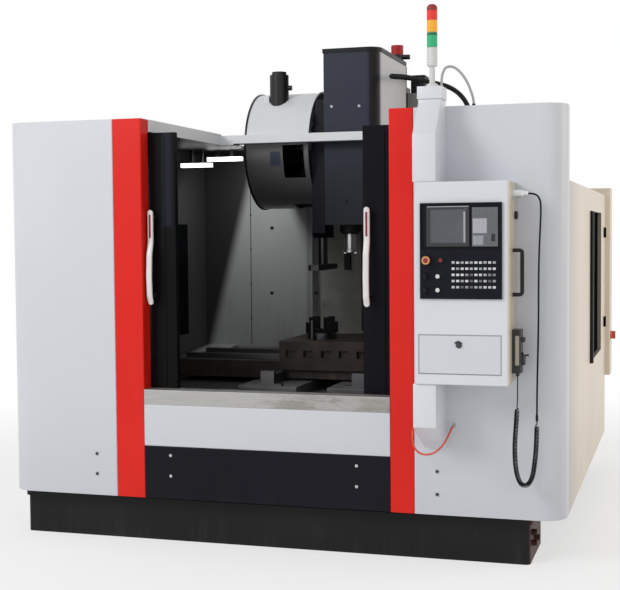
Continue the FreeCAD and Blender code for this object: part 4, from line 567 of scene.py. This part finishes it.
        pitch=(0.0216, 1.0, 0.0254), brightRow=3.0, dimmest=0.16, wears=["panel_keys"],
        zones=[zone((0.020, 0.021, 0.024), 0.0005, x=(0.895, 1.1115), z=(1.595, 1.80)),
               # painted highlights along the top and right edges of the screen surround
               zone((0.34, 0.36, 0.38), 0.001, x=(0.905, 1.1035), z=(1.7855, 1.7905)),
               zone((0.26, 0.27, 0.29), 0.001, x=(1.0875, 1.0905), z=(1.612, 1.782)),
               zone((0.13, 0.135, 0.150), 0.0005, x=(1.1145, 1.245), z=(1.595, 1.79)),
               zone((0.46, 0.45, 0.49), 0.002, x=(1.122, 1.190), z=(1.661, 1.732)),
               zone((0.34, 0.35, 0.38), 0.006, x=(1.121, 1.175), z=(1.604, 1.653)),
               zone((0.012, 0.012, 0.014), 0.001, x=(1.209, 1.229), z=(1.623, 1.659))]),
    "orangeHose": dict(
        make=plastic, base=(0.74, 0.10, 0.045), tone=(0.6, 0.075, 0.035), gloss=0.3,
        wears=["air_hose"]),
    "blackRubber": dict(
        make=plastic, base=(0.005, 0.005, 0.006), tone=(0.010, 0.010, 0.011), gloss=0.5, shine=0.15,
        wears=["handwheel_cable", "curly_cable", "conduits"]),
    "loopGrey": dict(make=plastic, base=(0.46, 0.46, 0.45), tone=(0.40, 0.40, 0.39), gloss=0.4),
    "screwDark": dict(make=ground, base=(0.05, 0.05, 0.052), lines=(0.03, 0.03, 0.032), rough=0.3),
    "screwPale": dict(make=ground, base=(0.30, 0.31, 0.33), lines=(0.22, 0.23, 0.25), rough=0.3),
    "lampCover": dict(
        make=lit, base=(0.8, 0.82, 0.85), light=(1.0, 1.0, 1.0), strength=2.2, wears=["work_lamps"],
        zones=[zone(black, 0.001, x=(-0.97, -0.70), z=(2.1765, far)),
              zone(black, 0.001, x=(-1.10, -0.87), y=(-far, 1.52), z=(2.1315, far)),
              zone(black, 0.001, x=(-1.10, -0.87), y=(-far, 1.52), z=(2.116, 2.1195))]),
    "clearLens": dict(make=lit, base=(0.66, 0.67, 0.66), light=(0.5, 0.5, 0.5), strength=0.1),
    "greenLens": dict(
        make=lit, base=(0.02, 0.36, 0.15), light=(0.02, 0.5, 0.2), strength=0.22,
        zones=[zone((0.01, 0.12, 0.05), 0.004, x=(0, far), z=(2.622, 2.638))]),
    "amberLens": dict(make=lit, base=(0.85, 0.36, 0.03), light=(0.9, 0.4, 0.02), strength=0.28),
    "redLens": dict(
        make=lit, base=(0.70, 0.03, 0.02), light=(0.8, 0.03, 0.01), strength=0.25,
        zones=[zone((0.30, 0.012, 0.010), 0.006, x=(0, far), z=(2.740, far))]),
}
finishes = {name: newFinish(name, **facts) for name, facts in recipes.items()}
print("finishes made:", len(finishes))


# cords

def routeCurve(name, points, thick, sides=4):
    curve = bpy.data.curves.new(name, "CURVE")
    curve.dimensions = "3D"
    curve.bevel_depth = thick / 2
    curve.bevel_resolution = sides
    curve.resolution_u = 10
    curve.use_fill_caps = True
    spline = curve.splines.new("NURBS")
    spline.points.add(len(points) - 1)
    for knot, point in zip(spline.points, points):
        knot.co = (*point, 1.0)
    spline.order_u = 3
    spline.use_endpoint_u = True
    return added(name, curve)


def wornCurve(name, points, thick, finish, sides=4):
    piece = routeCurve(name, points, thick, sides)
    piece.data.materials.append(finishes[finish])
    return piece


def readRoute(points):
    bare = routeCurve("bareRoute", points, 0.0)
    mesh = bpy.data.meshes.new_from_object(bare)
    line = [v.co.copy() for v in mesh.vertices]
    bpy.data.objects.remove(bare)
    bpy.data.meshes.remove(mesh)
    return line


def lengthOf(line):
    return sum((b - a).length for a, b in zip(line, line[1:]))


def alongLine(line, distance):
    for a, b in zip(line, line[1:]):
        step = (b - a).length
        if distance <= step:
            return a.lerp(b, distance / step), (b - a).normalized()
        distance -= step
    return line[-1].copy(), (line[-1] - line[-2]).normalized()


handwheelCable = {
    "thick": 0.009, "length": 1.094,
    "route": [(1.360, -0.116, 1.849), (1.392, -0.116, 1.849), (1.416, -0.117, 1.822),
              (1.420, -0.119, 1.772), (1.416, -0.121, 1.680), (1.410, -0.119, 1.540),
              (1.408, -0.115, 1.390), (1.408, -0.113, 1.235), (1.405, -0.114, 1.080),
              (1.402, -0.116, 0.930), (1.401, -0.116, 0.792)]}
cableRoute = places(handwheelCable["route"])
cable = wornCurve("handwheelCable", cableRoute, handwheelCable["thick"], "blackRubber")

curlyCord = {
    "wire": 0.0056, "coil": 0.0252, "pitch": 0.0067, "plainStart": 0.002, "plainEnd": 0.158,
    "pointsEachTurn": 16, "ease": 0.034, "slowest": 0.15,
    "startShares": (0.0, 0.35, 0.7), "endShares": (0.12, 0.35, 0.6, 0.8, 1.0),
    "route": [(1.401, -0.116, 0.758), (1.400, -0.116, 0.660), (1.392, -0.116, 0.560),
              (1.380, -0.116, 0.482), (1.356, -0.116, 0.444), (1.326, -0.116, 0.446),
              (1.306, -0.116, 0.492), (1.296, -0.116, 0.570), (1.296, -0.116, 0.660),
              (1.303, -0.116, 0.750), (1.308, -0.116, 0.840), (1.309, -0.116, 0.910),
              (1.309, -0.116, 0.974)]}


def curledPoints(facts):
    line = readRoute(places(facts["route"]))
    total = lengthOf(line)
    start, end = total * facts["plainStart"], total * (1 - facts["plainEnd"])
    radius = (facts["coil"] - facts["wire"]) / 2
    depth = Vector((0, 1, 0))
    points = [alongLine(line, start * share)[0] for share in facts["startShares"]]
    distance, angle = start, 0.0
    while distance < end:
        # the coil opens and closes over a few turns, and its pitch is long where it is narrow
        swell = min(1.0, (distance - start) / facts["ease"], (end - distance) / facts["ease"])
        swell = swell * swell * (3 - 2 * swell)
        middle, ahead = alongLine(line, distance)
        aside = ahead.cross(depth)
        points.append(middle + (aside * math.cos(angle) + depth * math.sin(angle)) * radius * swell)
        angle += 2 * math.pi / facts["pointsEachTurn"]
        distance += facts["pitch"] / facts["pointsEachTurn"] / max(swell ** 2, facts["slowest"])
    for share in facts["endShares"]:
        points.append(alongLine(line, end + (total - end) * share)[0])
    print("curls of the cord:", round(angle / (2 * math.pi), 1))
    return points


curlyPoints = curledPoints(curlyCord)
curly = wornCurve("curlyCord", curlyPoints, curlyCord["wire"], "blackRubber", sides=2)
curly.data.resolution_u = 1
curlyLength = lengthOf(readRoute(curlyPoints))
print("curly cord wire length", round(curlyLength, 3))

airHose = {
    "thick": 0.010, "length": 0.458,
    "route": [(0.790, -0.028, 0.705), (0.790, -0.062, 0.705), (0.789, -0.098, 0.684),
              (0.790, -0.108, 0.632), (0.808, -0.107, 0.586), (0.850, -0.104, 0.568),
              (0.900, -0.101, 0.580), (0.942, -0.100, 0.620), (0.968, -0.094, 0.668),
              (0.980, -0.064, 0.706), (0.980, -0.028, 0.706)]}
hoseRoute = places(airHose["route"])
hose = wornCurve("airHose", hoseRoute, airHose["thick"], "orangeHose")


# mesh tools

def finished(name, mesh, finish, body="frame", smooth=35.0):
    # puts a made mesh into the scene at the origin, with its finish, on its body
    piece = added(name, mesh)
    mesh.materials.clear()
    mesh.materials.append(finishes[finish])
    for face in mesh.polygons:
        face.use_smooth = True
    mesh.set_sharp_from_angle(angle=math.radians(smooth))
    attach(piece, body)
    return piece


def standIn(node, name, mesh, finish, body="frame", smooth=35.0):
    # a finished piece in place of a node of the machine
    piece = finished(name, mesh, finish, body, smooth)
    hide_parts(node)
    return piece


def fromBmesh(build):
    build.normal_update()
    mesh = bpy.data.meshes.new("made")
    build.to_mesh(mesh)
    build.free()
    return mesh


def closeRings(build, rings):
    # faces between neighbouring rings of points, where a ring of one point is a tip
    for low, high in zip(rings, rings[1:]):
        for k in range(max(len(low), len(high))):
            corners = dict.fromkeys((low[k % len(low)], low[(k + 1) % len(low)],
                                     high[(k + 1) % len(high)], high[k % len(high)]))
            if len(corners) > 2:
                build.faces.new(tuple(corners))
    bmesh.ops.recalc_face_normals(build, faces=build.faces)


def spunMesh(outline, middle, sides=32, forward=False):
    # outline: (radius, height) pairs from the bottom middle to the top middle
    build = bmesh.new()
    turn = Matrix.Rotation(math.pi / 2, 4, "X") if forward else Matrix.Identity(4)
    rings = []
    for radius, height in outline:
        angles = [2 * math.pi * k / sides for k in range(sides if radius > 1e-6 else 1)]
        rings.append([build.verts.new((radius * math.cos(angle), radius * math.sin(angle), height))
                      for angle in angles])
    closeRings(build, rings)
    bmesh.ops.transform(build, matrix=Matrix.Translation(middle) @ turn, verts=build.verts)
    return fromBmesh(build)


def prism(corners, step, edge, segments=2, before=far):
    # a flat outline pushed along a step, with the edges in front of a line a little rounded
    build = bmesh.new()
    near = [build.verts.new(corner) for corner in places(corners)]
    away = [build.verts.new(v.co + Vector(step)) for v in near]
    build.faces.new(near)
    build.faces.new(list(reversed(away)))
    for k in range(len(near)):
        n = (k + 1) % len(near)
        build.faces.new((near[k], away[k], away[n], near[n]))
    bmesh.ops.recalc_face_normals(build, faces=build.faces)
    line = place(0, before, 0).y
    chosen = [e for e in build.edges if min(v.co.y for v in e.verts) < line]
    if edge:
        bmesh.ops.bevel(build, geom=chosen, offset=edge, segments=segments, profile=0.5,
                        affect="EDGES")
    return fromBmesh(build)


def boxMesh(low, high, edge):
    corners = [(low[0], low[1], low[2]), (high[0], low[1], low[2]), (high[0], high[1], low[2]),
               (low[0], high[1], low[2])]
    return prism(corners, (0, 0, high[2] - low[2]), edge)


# repeats made with geometry nodes

def nodeTree(name, sizes):
    # sizes: (label, kind, value) of the named inputs after the geometry
    return newGroup(name, [("Geometry", "Geometry", None), *sizes], [("Geometry", "Geometry")],
                    "GeometryNodeTree")


def closeTree(tree, given, out, shape):
    real = newNode("GeometryNodeRealizeInstances", {"Geometry": shape}).outputs[0]
    plug(out, {0: newNode("GeometryNodeSetMaterial", {
        "Geometry": real, "Material": given["Material"]}).outputs[0]})
    return tree


def raised(mesh, height):
    move = newNode("ShaderNodeCombineXYZ", {"Z": height}).outputs[0]
    return newNode("GeometryNodeTransform", {"Geometry": mesh,
                                             "Translation": move}).outputs[0]


def makeScrewField():
    # a domed screw head with a socket on each point of a mesh
    tree, given, out = nodeTree("screwField", [
        ("Radius", "Float", 0.008), ("Height", "Float", 0.004), ("Dome", "Float", 0.6),
        ("Socket", "Float", 0.45), ("Sides", "Int", 20), ("Facing", "Rotation", None),
        ("Material", "Material", None)])
    skirt = sums("MULTIPLY", given["Height"], 0.45)
    base = newNode("GeometryNodeMeshCylinder", {
        "Vertices": given["Sides"], "Radius": given["Radius"], "Depth": skirt}).outputs["Mesh"]
    cap = newNode("GeometryNodeMeshCone", {
        "Vertices": given["Sides"], "Radius Bottom": given["Radius"],
        "Radius Top": sums("MULTIPLY", given["Radius"], given["Dome"]),
        "Depth": sums("SUBTRACT", given["Height"], skirt)}).outputs["Mesh"]
    hole = newNode("GeometryNodeMeshCylinder", {
        "Vertices": 6, "Radius": sums("MULTIPLY", given["Radius"], given["Socket"]),
        "Depth": sums("MULTIPLY", given["Height"], 0.5)}).outputs["Mesh"]
    joined = tree.nodes.new("GeometryNodeJoinGeometry")
    plug(joined, {0: raised(base, sums("MULTIPLY", skirt, 0.5))})
    plug(joined, {0: raised(cap, skirt)})
    cut = newNode("GeometryNodeMeshBoolean", {
        "Mesh 1": joined.outputs[0], "Mesh 2": raised(hole, given["Height"])},
        operation="DIFFERENCE", solver="EXACT")
    return closeTree(tree, given, out, newNode("GeometryNodeInstanceOnPoints", {
        "Points": given["Geometry"], "Instance": cut.outputs["Mesh"],
        "Rotation": given["Facing"]}).outputs[0])


def makeRibbedTube():
    # a conduit along a curve, its ribs a wave of the radius
    tree, given, out = nodeTree("ribbedTube", [
        ("Radius", "Float", 0.013), ("Rib Depth", "Float", 0.0016), ("Pitch", "Float", 0.009),
        ("Sides", "Int", 16), ("Material", "Material", None)])
    pointsEachRib = 4.0
    step = sums("DIVIDE", given["Pitch"], pointsEachRib)
    line = newNode("GeometryNodeResampleCurve", {"Curve": given["Geometry"],
                                                 "Length": step}, mode="LENGTH")
    run = tree.nodes.new("GeometryNodeSplineParameter").outputs["Length"]
    turn = sums("MULTIPLY", sums("DIVIDE", run, given["Pitch"]), 2 * math.pi)
    wave = sums("SUBTRACT", sums("SINE", turn), 1.0)
    wave = sums("MULTIPLY", wave, sums("MULTIPLY", given["Rib Depth"], 0.5))
    section = newNode("GeometryNodeCurvePrimitiveCircle", {
        "Resolution": given["Sides"], "Radius": 1.0})
    return closeTree(tree, given, out, newNode("GeometryNodeCurveToMesh", {
        "Curve": line.outputs[0], "Profile Curve": section.outputs[0], "Fill Caps": True,
        "Scale": sums("ADD", wave, given["Radius"])}).outputs[0])


def baked(name, source, tree, values, finish, body="frame", smooth=35.0):
    # runs the tree on the source once and keeps the plain mesh
    modifier = source.modifiers.new(name, "NODES")
    modifier.node_group = tree
    values = {**values, "Material": finishes[finish]}
    for socket in tree.interface.items_tree:
        if socket.in_out == "INPUT" and socket.name in values:
            modifier[socket.identifier] = values[socket.name]
    seen = source.evaluated_get(bpy.context.evaluated_depsgraph_get())
    mesh = bpy.data.meshes.new_from_object(seen)
    source.modifiers.remove(modifier)
    bpy.data.objects.remove(source)
    return finished(name, mesh, finish, body, smooth)


screwField = makeScrewField()
ribbedTube = makeRibbedTube()
facingFront = (math.pi / 2, 0, 0)
screwSets = {
    "wallScrews": {"at": [(-0.664, 2.04, 1.708), (-0.669, 2.04, 1.258), (-0.350, 2.04, 1.260),
                          (-0.350, 2.04, 1.708)],
                   "Radius": 0.012, "Height": 0.006, "finish": "screwDark", "body": "frame"},
    "seamScrews": {"at": [(-0.820, 2.04, z) for z in (1.08, 1.32, 1.56, 1.80, 2.04)],
                   "Radius": 0.006, "Height": 0.004, "finish": "screwDark", "body": "frame"},
    "coverScrews": {"at": [(-0.009, 1.27, 2.444), (0.165, 1.27, 2.441)],
                    "Radius": 0.009, "Height": 0.005, "finish": "screwPale", "body": "head"},
}
for name, facts in screwSets.items():
    mesh = bpy.data.meshes.new(name)
    mesh.from_pydata(places(facts["at"]), [], [])
    baked(name, added(name, mesh), screwField,
          {"Radius": facts["Radius"], "Height": facts["Height"], "Facing": facingFront},
          facts["finish"], facts["body"])
print("screws made:", sum(len(facts["at"]) for facts in screwSets.values()))

trunkConduit = {
    "Radius": 0.0148, "Rib Depth": 0.0030, "Pitch": 0.010,
    "route": [(0.354, 2.110, 2.680), (0.354, 1.980, 2.680), (0.366, 1.740, 2.662),
              (0.382, 1.440, 2.630), (0.392, 1.190, 2.602), (0.432, 0.985, 2.574),
              (0.560, 0.870, 2.548), (0.700, 0.845, 2.512), (0.810, 0.845, 2.482),
              (0.890, 0.845, 2.412), (0.928, 0.845, 2.306), (0.928, 0.845, 2.223)]}
trunkLine = routeCurve("trunkLine", places(trunkConduit["route"]), 0.0)
trunk = baked("trunkConduit", trunkLine, ribbedTube, trunkConduit, "blackRubber", smooth=60.0)
loopConduit = {
    "thick": 0.013,
    "route": [(0.930, -0.050, 2.376), (0.930, -0.050, 2.412), (0.935, -0.046, 2.448),
              (0.950, -0.040, 2.476), (0.984, -0.028, 2.478), (1.018, -0.012, 2.450),
              (1.046, 0.010, 2.406), (1.062, 0.038, 2.356), (1.070, 0.060, 2.318),
              (1.070, 0.060, 2.288)]}
loop = wornCurve("loopConduit", places(loopConduit["route"]), loopConduit["thick"], "loopGrey")
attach(loop, "frame")

# box on the column where the trunk conduit starts, its lid a little wider
junction = {"low": (0.302, 2.112, 2.600), "high": (0.398, 2.248, 2.720), "lid": 0.014,
            "gap": 0.001, "lip": 0.002, "edge": 0.004}
low, high = Vector(junction["low"]), Vector(junction["high"])
seam, gap, lip = high.z - junction["lid"], junction["gap"], junction["lip"]
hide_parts("conduits")
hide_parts("conduits")
standIn("conduits", "junctionBox",
        boxMesh(low, (high.x, high.y, seam - gap), junction["edge"]), "blackPlastic")
standIn("conduits", "junctionLid",
        boxMesh((low.x - lip, low.y - lip, seam), (high.x + lip, high.y + lip, high.z),
                junction["edge"]), "blackPlastic")
collars = {"trunkCollar": {"foot": trunkConduit["route"][-1], "radius": 0.020, "tall": 0.030},
           "loopCollar": {"foot": loopConduit["route"][-1], "radius": 0.009, "tall": 0.014}}
shoulder = {"height": 0.7, "radius": 0.88}
for name, facts in collars.items():
    radius, tall = facts["radius"], facts["tall"]
    standIn("conduits", name, spunMesh(
        [(0, 0), (radius, 0), (radius, shoulder["height"] * tall),
         (shoulder["radius"] * radius, tall), (0, tall)], place(*facts["foot"]), sides=24),
        "blackRubber")
print("conduits made")

# door handles: a bowed bar with round ends, a dark red strip let in and two legs
handle = {
    "middles": {"left": -0.678, "right": 0.522}, "rows": 72, "sides": 20, "seat": 0.0966,
    "roundness": 0.6, "tipShare": 0.35, "fullAt": 1.4,
    "bar": {"low": 1.290, "high": 1.800, "halfWide": 0.016},
    "bow": [(1.290, 0.040, 0.012), (1.350, 0.023, 0.016), (1.440, 0.018, 0.018),
            (1.540, 0.023, 0.018), (1.640, 0.044, 0.018), (1.800, 0.044, 0.018)],
    "strip": {"halfWide": 0.0062, "low": 1.648, "high": 1.776, "proud": 0.0006, "deep": 0.003},
    "legs": [(1.760, 0.058), (1.340, 0.034)], "legRadius": 0.0095,
    "legFoot": [(0.004, 0.0), (0.003, 0.003), (0.0, 0.006)]}


def bowAt(z):
    # front face and thickness of the bar at a height, eased between the rows of the table
    table = handle["bow"]
    for (low, front, thick), (high, nextFront, nextThick) in zip(table, table[1:]):
        if z <= high + 1e-9:
            share = (z - low) / (high - low)
            share = share * share * (3 - 2 * share)
            return front + (nextFront - front) * share, thick + (nextThick - thick) * share
    return table[-1][1], table[-1][2]


def barMesh(x, low, high, halfWide, proud=0.0, deep=None):
    # stacked rings that narrow towards both ends, with the corners of each a little square
    build = bmesh.new()
    rings, tip = [], handle["tipShare"]
    for row in range(handle["rows"] + 1):
        turn = math.pi * row / handle["rows"]
        z = (low + high) / 2 - (high - low) / 2 * math.cos(turn)
        front, thick = bowAt(z)
        near = min(z - low, high - z, halfWide) / halfWide
        wide = halfWide * math.sqrt(max(0.0, 1 - (1 - near) ** 2))
        full = min(1.0, wide / halfWide * handle["fullAt"])
        thick = (deep or thick) * (tip + (1 - tip) * full)
        middle = front - proud + (deep or thick) / 2
        if wide < 1e-5:
            rings.append([build.verts.new(place(x, middle, z))])
            continue
        rings.append([])
        for side in range(handle["sides"]):
            angle = 2 * math.pi * side / handle["sides"]
            c, d = (math.copysign(abs(part) ** handle["roundness"], part)
                    for part in (math.cos(angle), math.sin(angle)))
            rings[-1].append(build.verts.new(place(x + wide * c, middle + thick / 2 * d, z)))
    closeRings(build, rings)
    return fromBmesh(build)


for side, x in handle["middles"].items():
    node, name, body = side + "_handle", side + "Handle", side + "_door"
    standIn(node, name + "Bar", barMesh(x, **handle["bar"]), "handleWhite", body)
    standIn(node, name + "Strip", barMesh(x, **handle["strip"]), "insertRed", body)
    for number, (z, start) in enumerate(handle["legs"]):
        # a leg runs back from the bar and ends in a wider foot on the door
        long, thick = handle["seat"] - start, handle["legRadius"]
        foot = [(thick + more, up - long) for more, up in handle["legFoot"]]
        standIn(node, name + "Leg%d" % number, spunMesh(
            [(0, -long), *foot, (thick, 0), (0, 0)], place(x, start, z), sides=24, forward=True),
            "blackPlastic", body)
print("door handles made")

# duct that carries the pendant, stepped forward above and cut away at its foot: closed boxes
# of folded sheet, each an outline seen from the side, with its front edges a little rounded
duct = {
    "left": 0.828, "forward": 0.0003, "roundBefore": -0.1,
    "upper": {"wide": 0.113, "edge": 0.004,
              "outline": [(0, 2.314), (-0.122, 2.314), (-0.122, 2.297), (-0.265, 2.132),
                          (-0.265, 1.9074), (0, 1.9074)]},
    "spine": {"wide": 0.093, "edge": 0.0,
              "outline": [(-0.0004, 1.9074), (-0.170, 1.9074), (-0.170, 0.9416),
                          (-0.0004, 0.9416)]},
    "foot": {"wide": 0.113, "edge": 0.004,
             "outline": [(0, 0.9416), (-0.265, 0.9416), (-0.265, 0.730), (0, 0.590)]},
    "cap": {"wide": 0.123, "edge": 0.003, "overhang": 0.005,
            "outline": [(0, 2.376), (-0.127, 2.376), (-0.127, 2.3143), (0, 2.3143)]}}
for part in ("upper", "spine", "foot", "cap"):
    facts = duct[part]
    left = duct["left"] - facts.get("overhang", 0.0)
    standIn("pendant_duct", "duct_" + part, prism(
        [(left, y - duct["forward"], z) for y, z in facts["outline"]], (facts["wide"], 0, 0),
        facts["edge"], segments=3, before=duct["roundBefore"]), "pendantWhite", smooth=30.0)
print("duct made")

# black bar on the front edge of the side window, and the plate of the flap latch
windowRail = {"low": (1.5255, 1.531, 0.872), "high": (1.546, 1.556, 1.788), "edge": 0.003}
finished("windowRail", boxMesh(**windowRail), "blackPlastic")
latchPlate = {"middle": (1.051, -0.2843, 1.144), "halfWide": 0.0205, "halfTall": 0.0105,
              "deep": 0.0034, "edge": 0.0012}
x, y, z = latchPlate["middle"]
wide, tall = latchPlate["halfWide"], latchPlate["halfTall"]
finished("latchPlate", prism([(x - wide, y, z), (x, y, z - tall), (x + wide, y, z),
                              (x, y, z + tall)], (0, latchPlate["deep"], 0),
                             latchPlate["edge"]), "blackPlastic", "flap_latch")

# signal tower: stacked ribbed lenses on a neck
tower = {
    "middle": (0.890, -0.080), "foot": 2.376, "lensRadius": 0.0262, "jointRadius": 0.0237,
    "gap": 0.002, "rim": 0.001, "ribs": 5, "firstRib": 0.06, "ribbed": 0.88,
    "rib": [(0.0016, 0.1), (0.0, 0.4), (0.0, 0.7), (0.0016, 0.95)],
    "lenses": [("clearLens", 2.485, 2.567), ("greenLens", 2.567, 2.640),
               ("amberLens", 2.640, 2.698), ("redLens", 2.698, 2.752)],
    "neck": [(0, 0), (0.030, 0), (0.030, 0.008), (0.024, 0.014), (0.0135, 0.018),
             (0.0135, 0.095), (0.0255, 0.101), (0.0255, 0.109), (0, 0.109)],
    "cap": [(0, 0), (0.0262, 0), (0.0262, 0.006), (0.0225, 0.015), (0.014, 0.022), (0, 0.024)]}


def lensOutline(tall):
    radius, rim = tower["lensRadius"], tower["rim"]
    points = [(0, 0), (radius - rim, 0)]
    step = tall * tower["ribbed"] / tower["ribs"]
    for k in range(tower["ribs"]):
        base = tall * tower["firstRib"] + step * k
        points += [(radius - deep, base + share * step) for deep, share in tower["rib"]]
    return points + [(radius - rim, tall), (0, tall)]


def towerPiece(name, outline, low, finish):
    standIn("signal_tower", "tower_" + name, spunMesh(outline, place(*tower["middle"], low)),
            finish)


gap, joint = tower["gap"], tower["jointRadius"]
for lens, low, high in tower["lenses"]:
    towerPiece(lens, lensOutline(high - gap - low), low, lens)
    towerPiece(lens + "_joint", [(0, 0), (joint, 0), (joint, gap), (0, gap)], high - gap,
               "greyPlastic")
towerPiece("foot", tower["neck"], tower["foot"], "whitePlastic")
towerPiece("cap", tower["cap"], tower["lenses"][-1][2], "redLens")
print("signal tower made")

# the cords put on the frame body, with the sleeve between the two cables and the fittings of the
# hose
cordSleeve = {"foot": curlyCord["route"][0],
              "outline": [(0, 0), (0.0035, 0), (0.0062, 0.004), (0.0065, 0.010),
                          (0.0065, 0.026), (0.0058, 0.032), (0.0045, 0.034), (0, 0.034)]}
hoseFittings = {"feet": {"hoseFittingLeft": (0.790, 0.0, 0.705),
                         "hoseFittingRight": (0.980, 0.0, 0.706)},
                "outline": [(0, 0), (0.009, 0), (0.009, 0.012), (0.0075, 0.014),
                            (0.0075, 0.024), (0.0065, 0.028), (0, 0.028)]}
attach(cable, "frame")
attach(curly, "frame")
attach(hose, "frame")
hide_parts("handwheel_cable")
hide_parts("curly_cable")
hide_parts("air_hose")
sleeve = standIn("handwheel_cable", "cordSleeve", spunMesh(
    cordSleeve["outline"], place(*cordSleeve["foot"])), "blackRubber")
fittings = [standIn("air_hose", name, spunMesh(hoseFittings["outline"], place(*foot), sides=24,
                                               forward=True), "brightSteel")
            for name, foot in hoseFittings["feet"].items()]

# studio: a floor that fades to white, a white world and four lamps
studio = {
    "floorHalf": 30.0, "floorTone": (0.86, 0.86, 0.86), "floorRough": 0.9, "fadeStart": 2.0,
    "fadeEnd": 6.0, "whiteNear": 0.62, "world": 0.55,
    "lamps": {
        "keyLight": dict(at=(-5.0, -8.5, 6.0), towards=(0, -1, 1.2), size=4.0, power=365.0),
        "fillLight": dict(at=(5.5, -8.0, 3.0), towards=(0, -1, 1.2), size=4.0, power=45.0),
        "cellLight": dict(at=place(-0.78, 1.42, 2.10), towards=place(-0.45, 2.04, 1.25),
                          size=0.18, power=3.2),
        "sideLight": dict(at=(8.0, 1.5, 3.5), towards=(1.5, 0, 1.2), size=4.0, power=104.0,
                          tint=(1.0, 0.86, 0.7))}}


def seenPlainly(tree):
    # one for what the camera sees straight, in a mirror or through glass
    rays = tree.nodes.new("ShaderNodeLightPath").outputs
    seen = sums("MAXIMUM", rays["Is Camera Ray"], rays["Is Glossy Ray"])
    return sums("MAXIMUM", seen, rays["Is Transmission Ray"])


def floorPiece():
    build = bmesh.new()
    half = studio["floorHalf"]
    build.faces.new([build.verts.new((x, y, 0.0)) for x, y in
                     ((-half, -half), (half, -half), (half, half), (-half, half))])
    piece = added("studioFloor", fromBmesh(build))
    material = bpy.data.materials.new("studioFloor")
    material.use_nodes = True
    tree = material.node_tree
    shader = tree.nodes["Principled BSDF"]
    plug(shader, {"Base Color": colour(studio["floorTone"]),
                  "Roughness": studio["floorRough"]})
    glow = newNode("ShaderNodeEmission", {"Color": (1, 1, 1, 1), "Strength": 1.0}, tree)
    where = tree.nodes.new("ShaderNodeTexCoord").outputs["Object"]
    fade = between(vectors("LENGTH", where), studio["fadeStart"], studio["fadeEnd"],
                   studio["whiteNear"], 1.0)
    mix = newNode("ShaderNodeMixShader", {
        0: sums("MULTIPLY", seenPlainly(tree), fade), 1: shader.outputs[0],
        2: glow.outputs[0]})
    plug(tree.nodes["Material Output"], {"Surface": mix.outputs[0]})
    piece.data.materials.append(material)


def lamp(name, at, towards, size, power, tint=(1, 1, 1)):
    light = bpy.data.lights.new(name, "AREA")
    light.shape = "DISK"
    light.size = size
    light.energy = power
    light.color = tint
    piece = added(name, light)
    piece.location = at
    piece.rotation_mode = "QUATERNION"
    piece.rotation_quaternion = (Vector(towards) - Vector(at)).to_track_quat("-Z", "Y")


floorPiece()
world = bpy.data.worlds.new("studio")
bpy.context.scene.world = world
world.use_nodes = True
tree = world.node_tree
tree.nodes.clear()
soft, shown = (newNode("ShaderNodeBackground", {"Color": (1, 1, 1, 1), "Strength": power}, tree)
               for power in (studio["world"], 1.0))
mix = newNode("ShaderNodeMixShader", {0: seenPlainly(tree), 1: soft.outputs[0],
                                      2: shown.outputs[0]})
newNode("ShaderNodeOutputWorld", {"Surface": mix.outputs[0]})
for name, facts in studio["lamps"].items():
    lamp(name, **facts)

# camera

camera = {"at": (2.0605, -7.477, 1.664), "yaw": 17.07, "pitch": 2.82, "roll": -0.46,
          "lens": 71.806, "sensor": 36.0, "clipEnd": 200.0}
yaw, pitch, roll = (math.radians(camera[k]) for k in ("yaw", "pitch", "roll"))
forward = Vector((-math.sin(yaw) * math.cos(pitch), math.cos(yaw) * math.cos(pitch),
                  -math.sin(pitch)))
level = Vector((math.cos(yaw), math.sin(yaw), 0.0))
upright = level.cross(forward)
right = math.cos(roll) * level + math.sin(roll) * upright
up = math.cos(roll) * upright - math.sin(roll) * level
view = bpy.data.cameras.new("photoCamera")
view.lens = camera["lens"]
view.sensor_width = camera["sensor"]
view.clip_end = camera["clipEnd"]
eye = added("photoCamera", view)
eye.matrix_world = Matrix((
    (right.x, up.x, -forward.x, camera["at"][0]), (right.y, up.y, -forward.y, camera["at"][1]),
    (right.z, up.z, -forward.z, camera["at"][2]), (0, 0, 0, 1)))
bpy.context.scene.camera = eye
bpy.context.scene.view_settings.view_transform = "Standard"
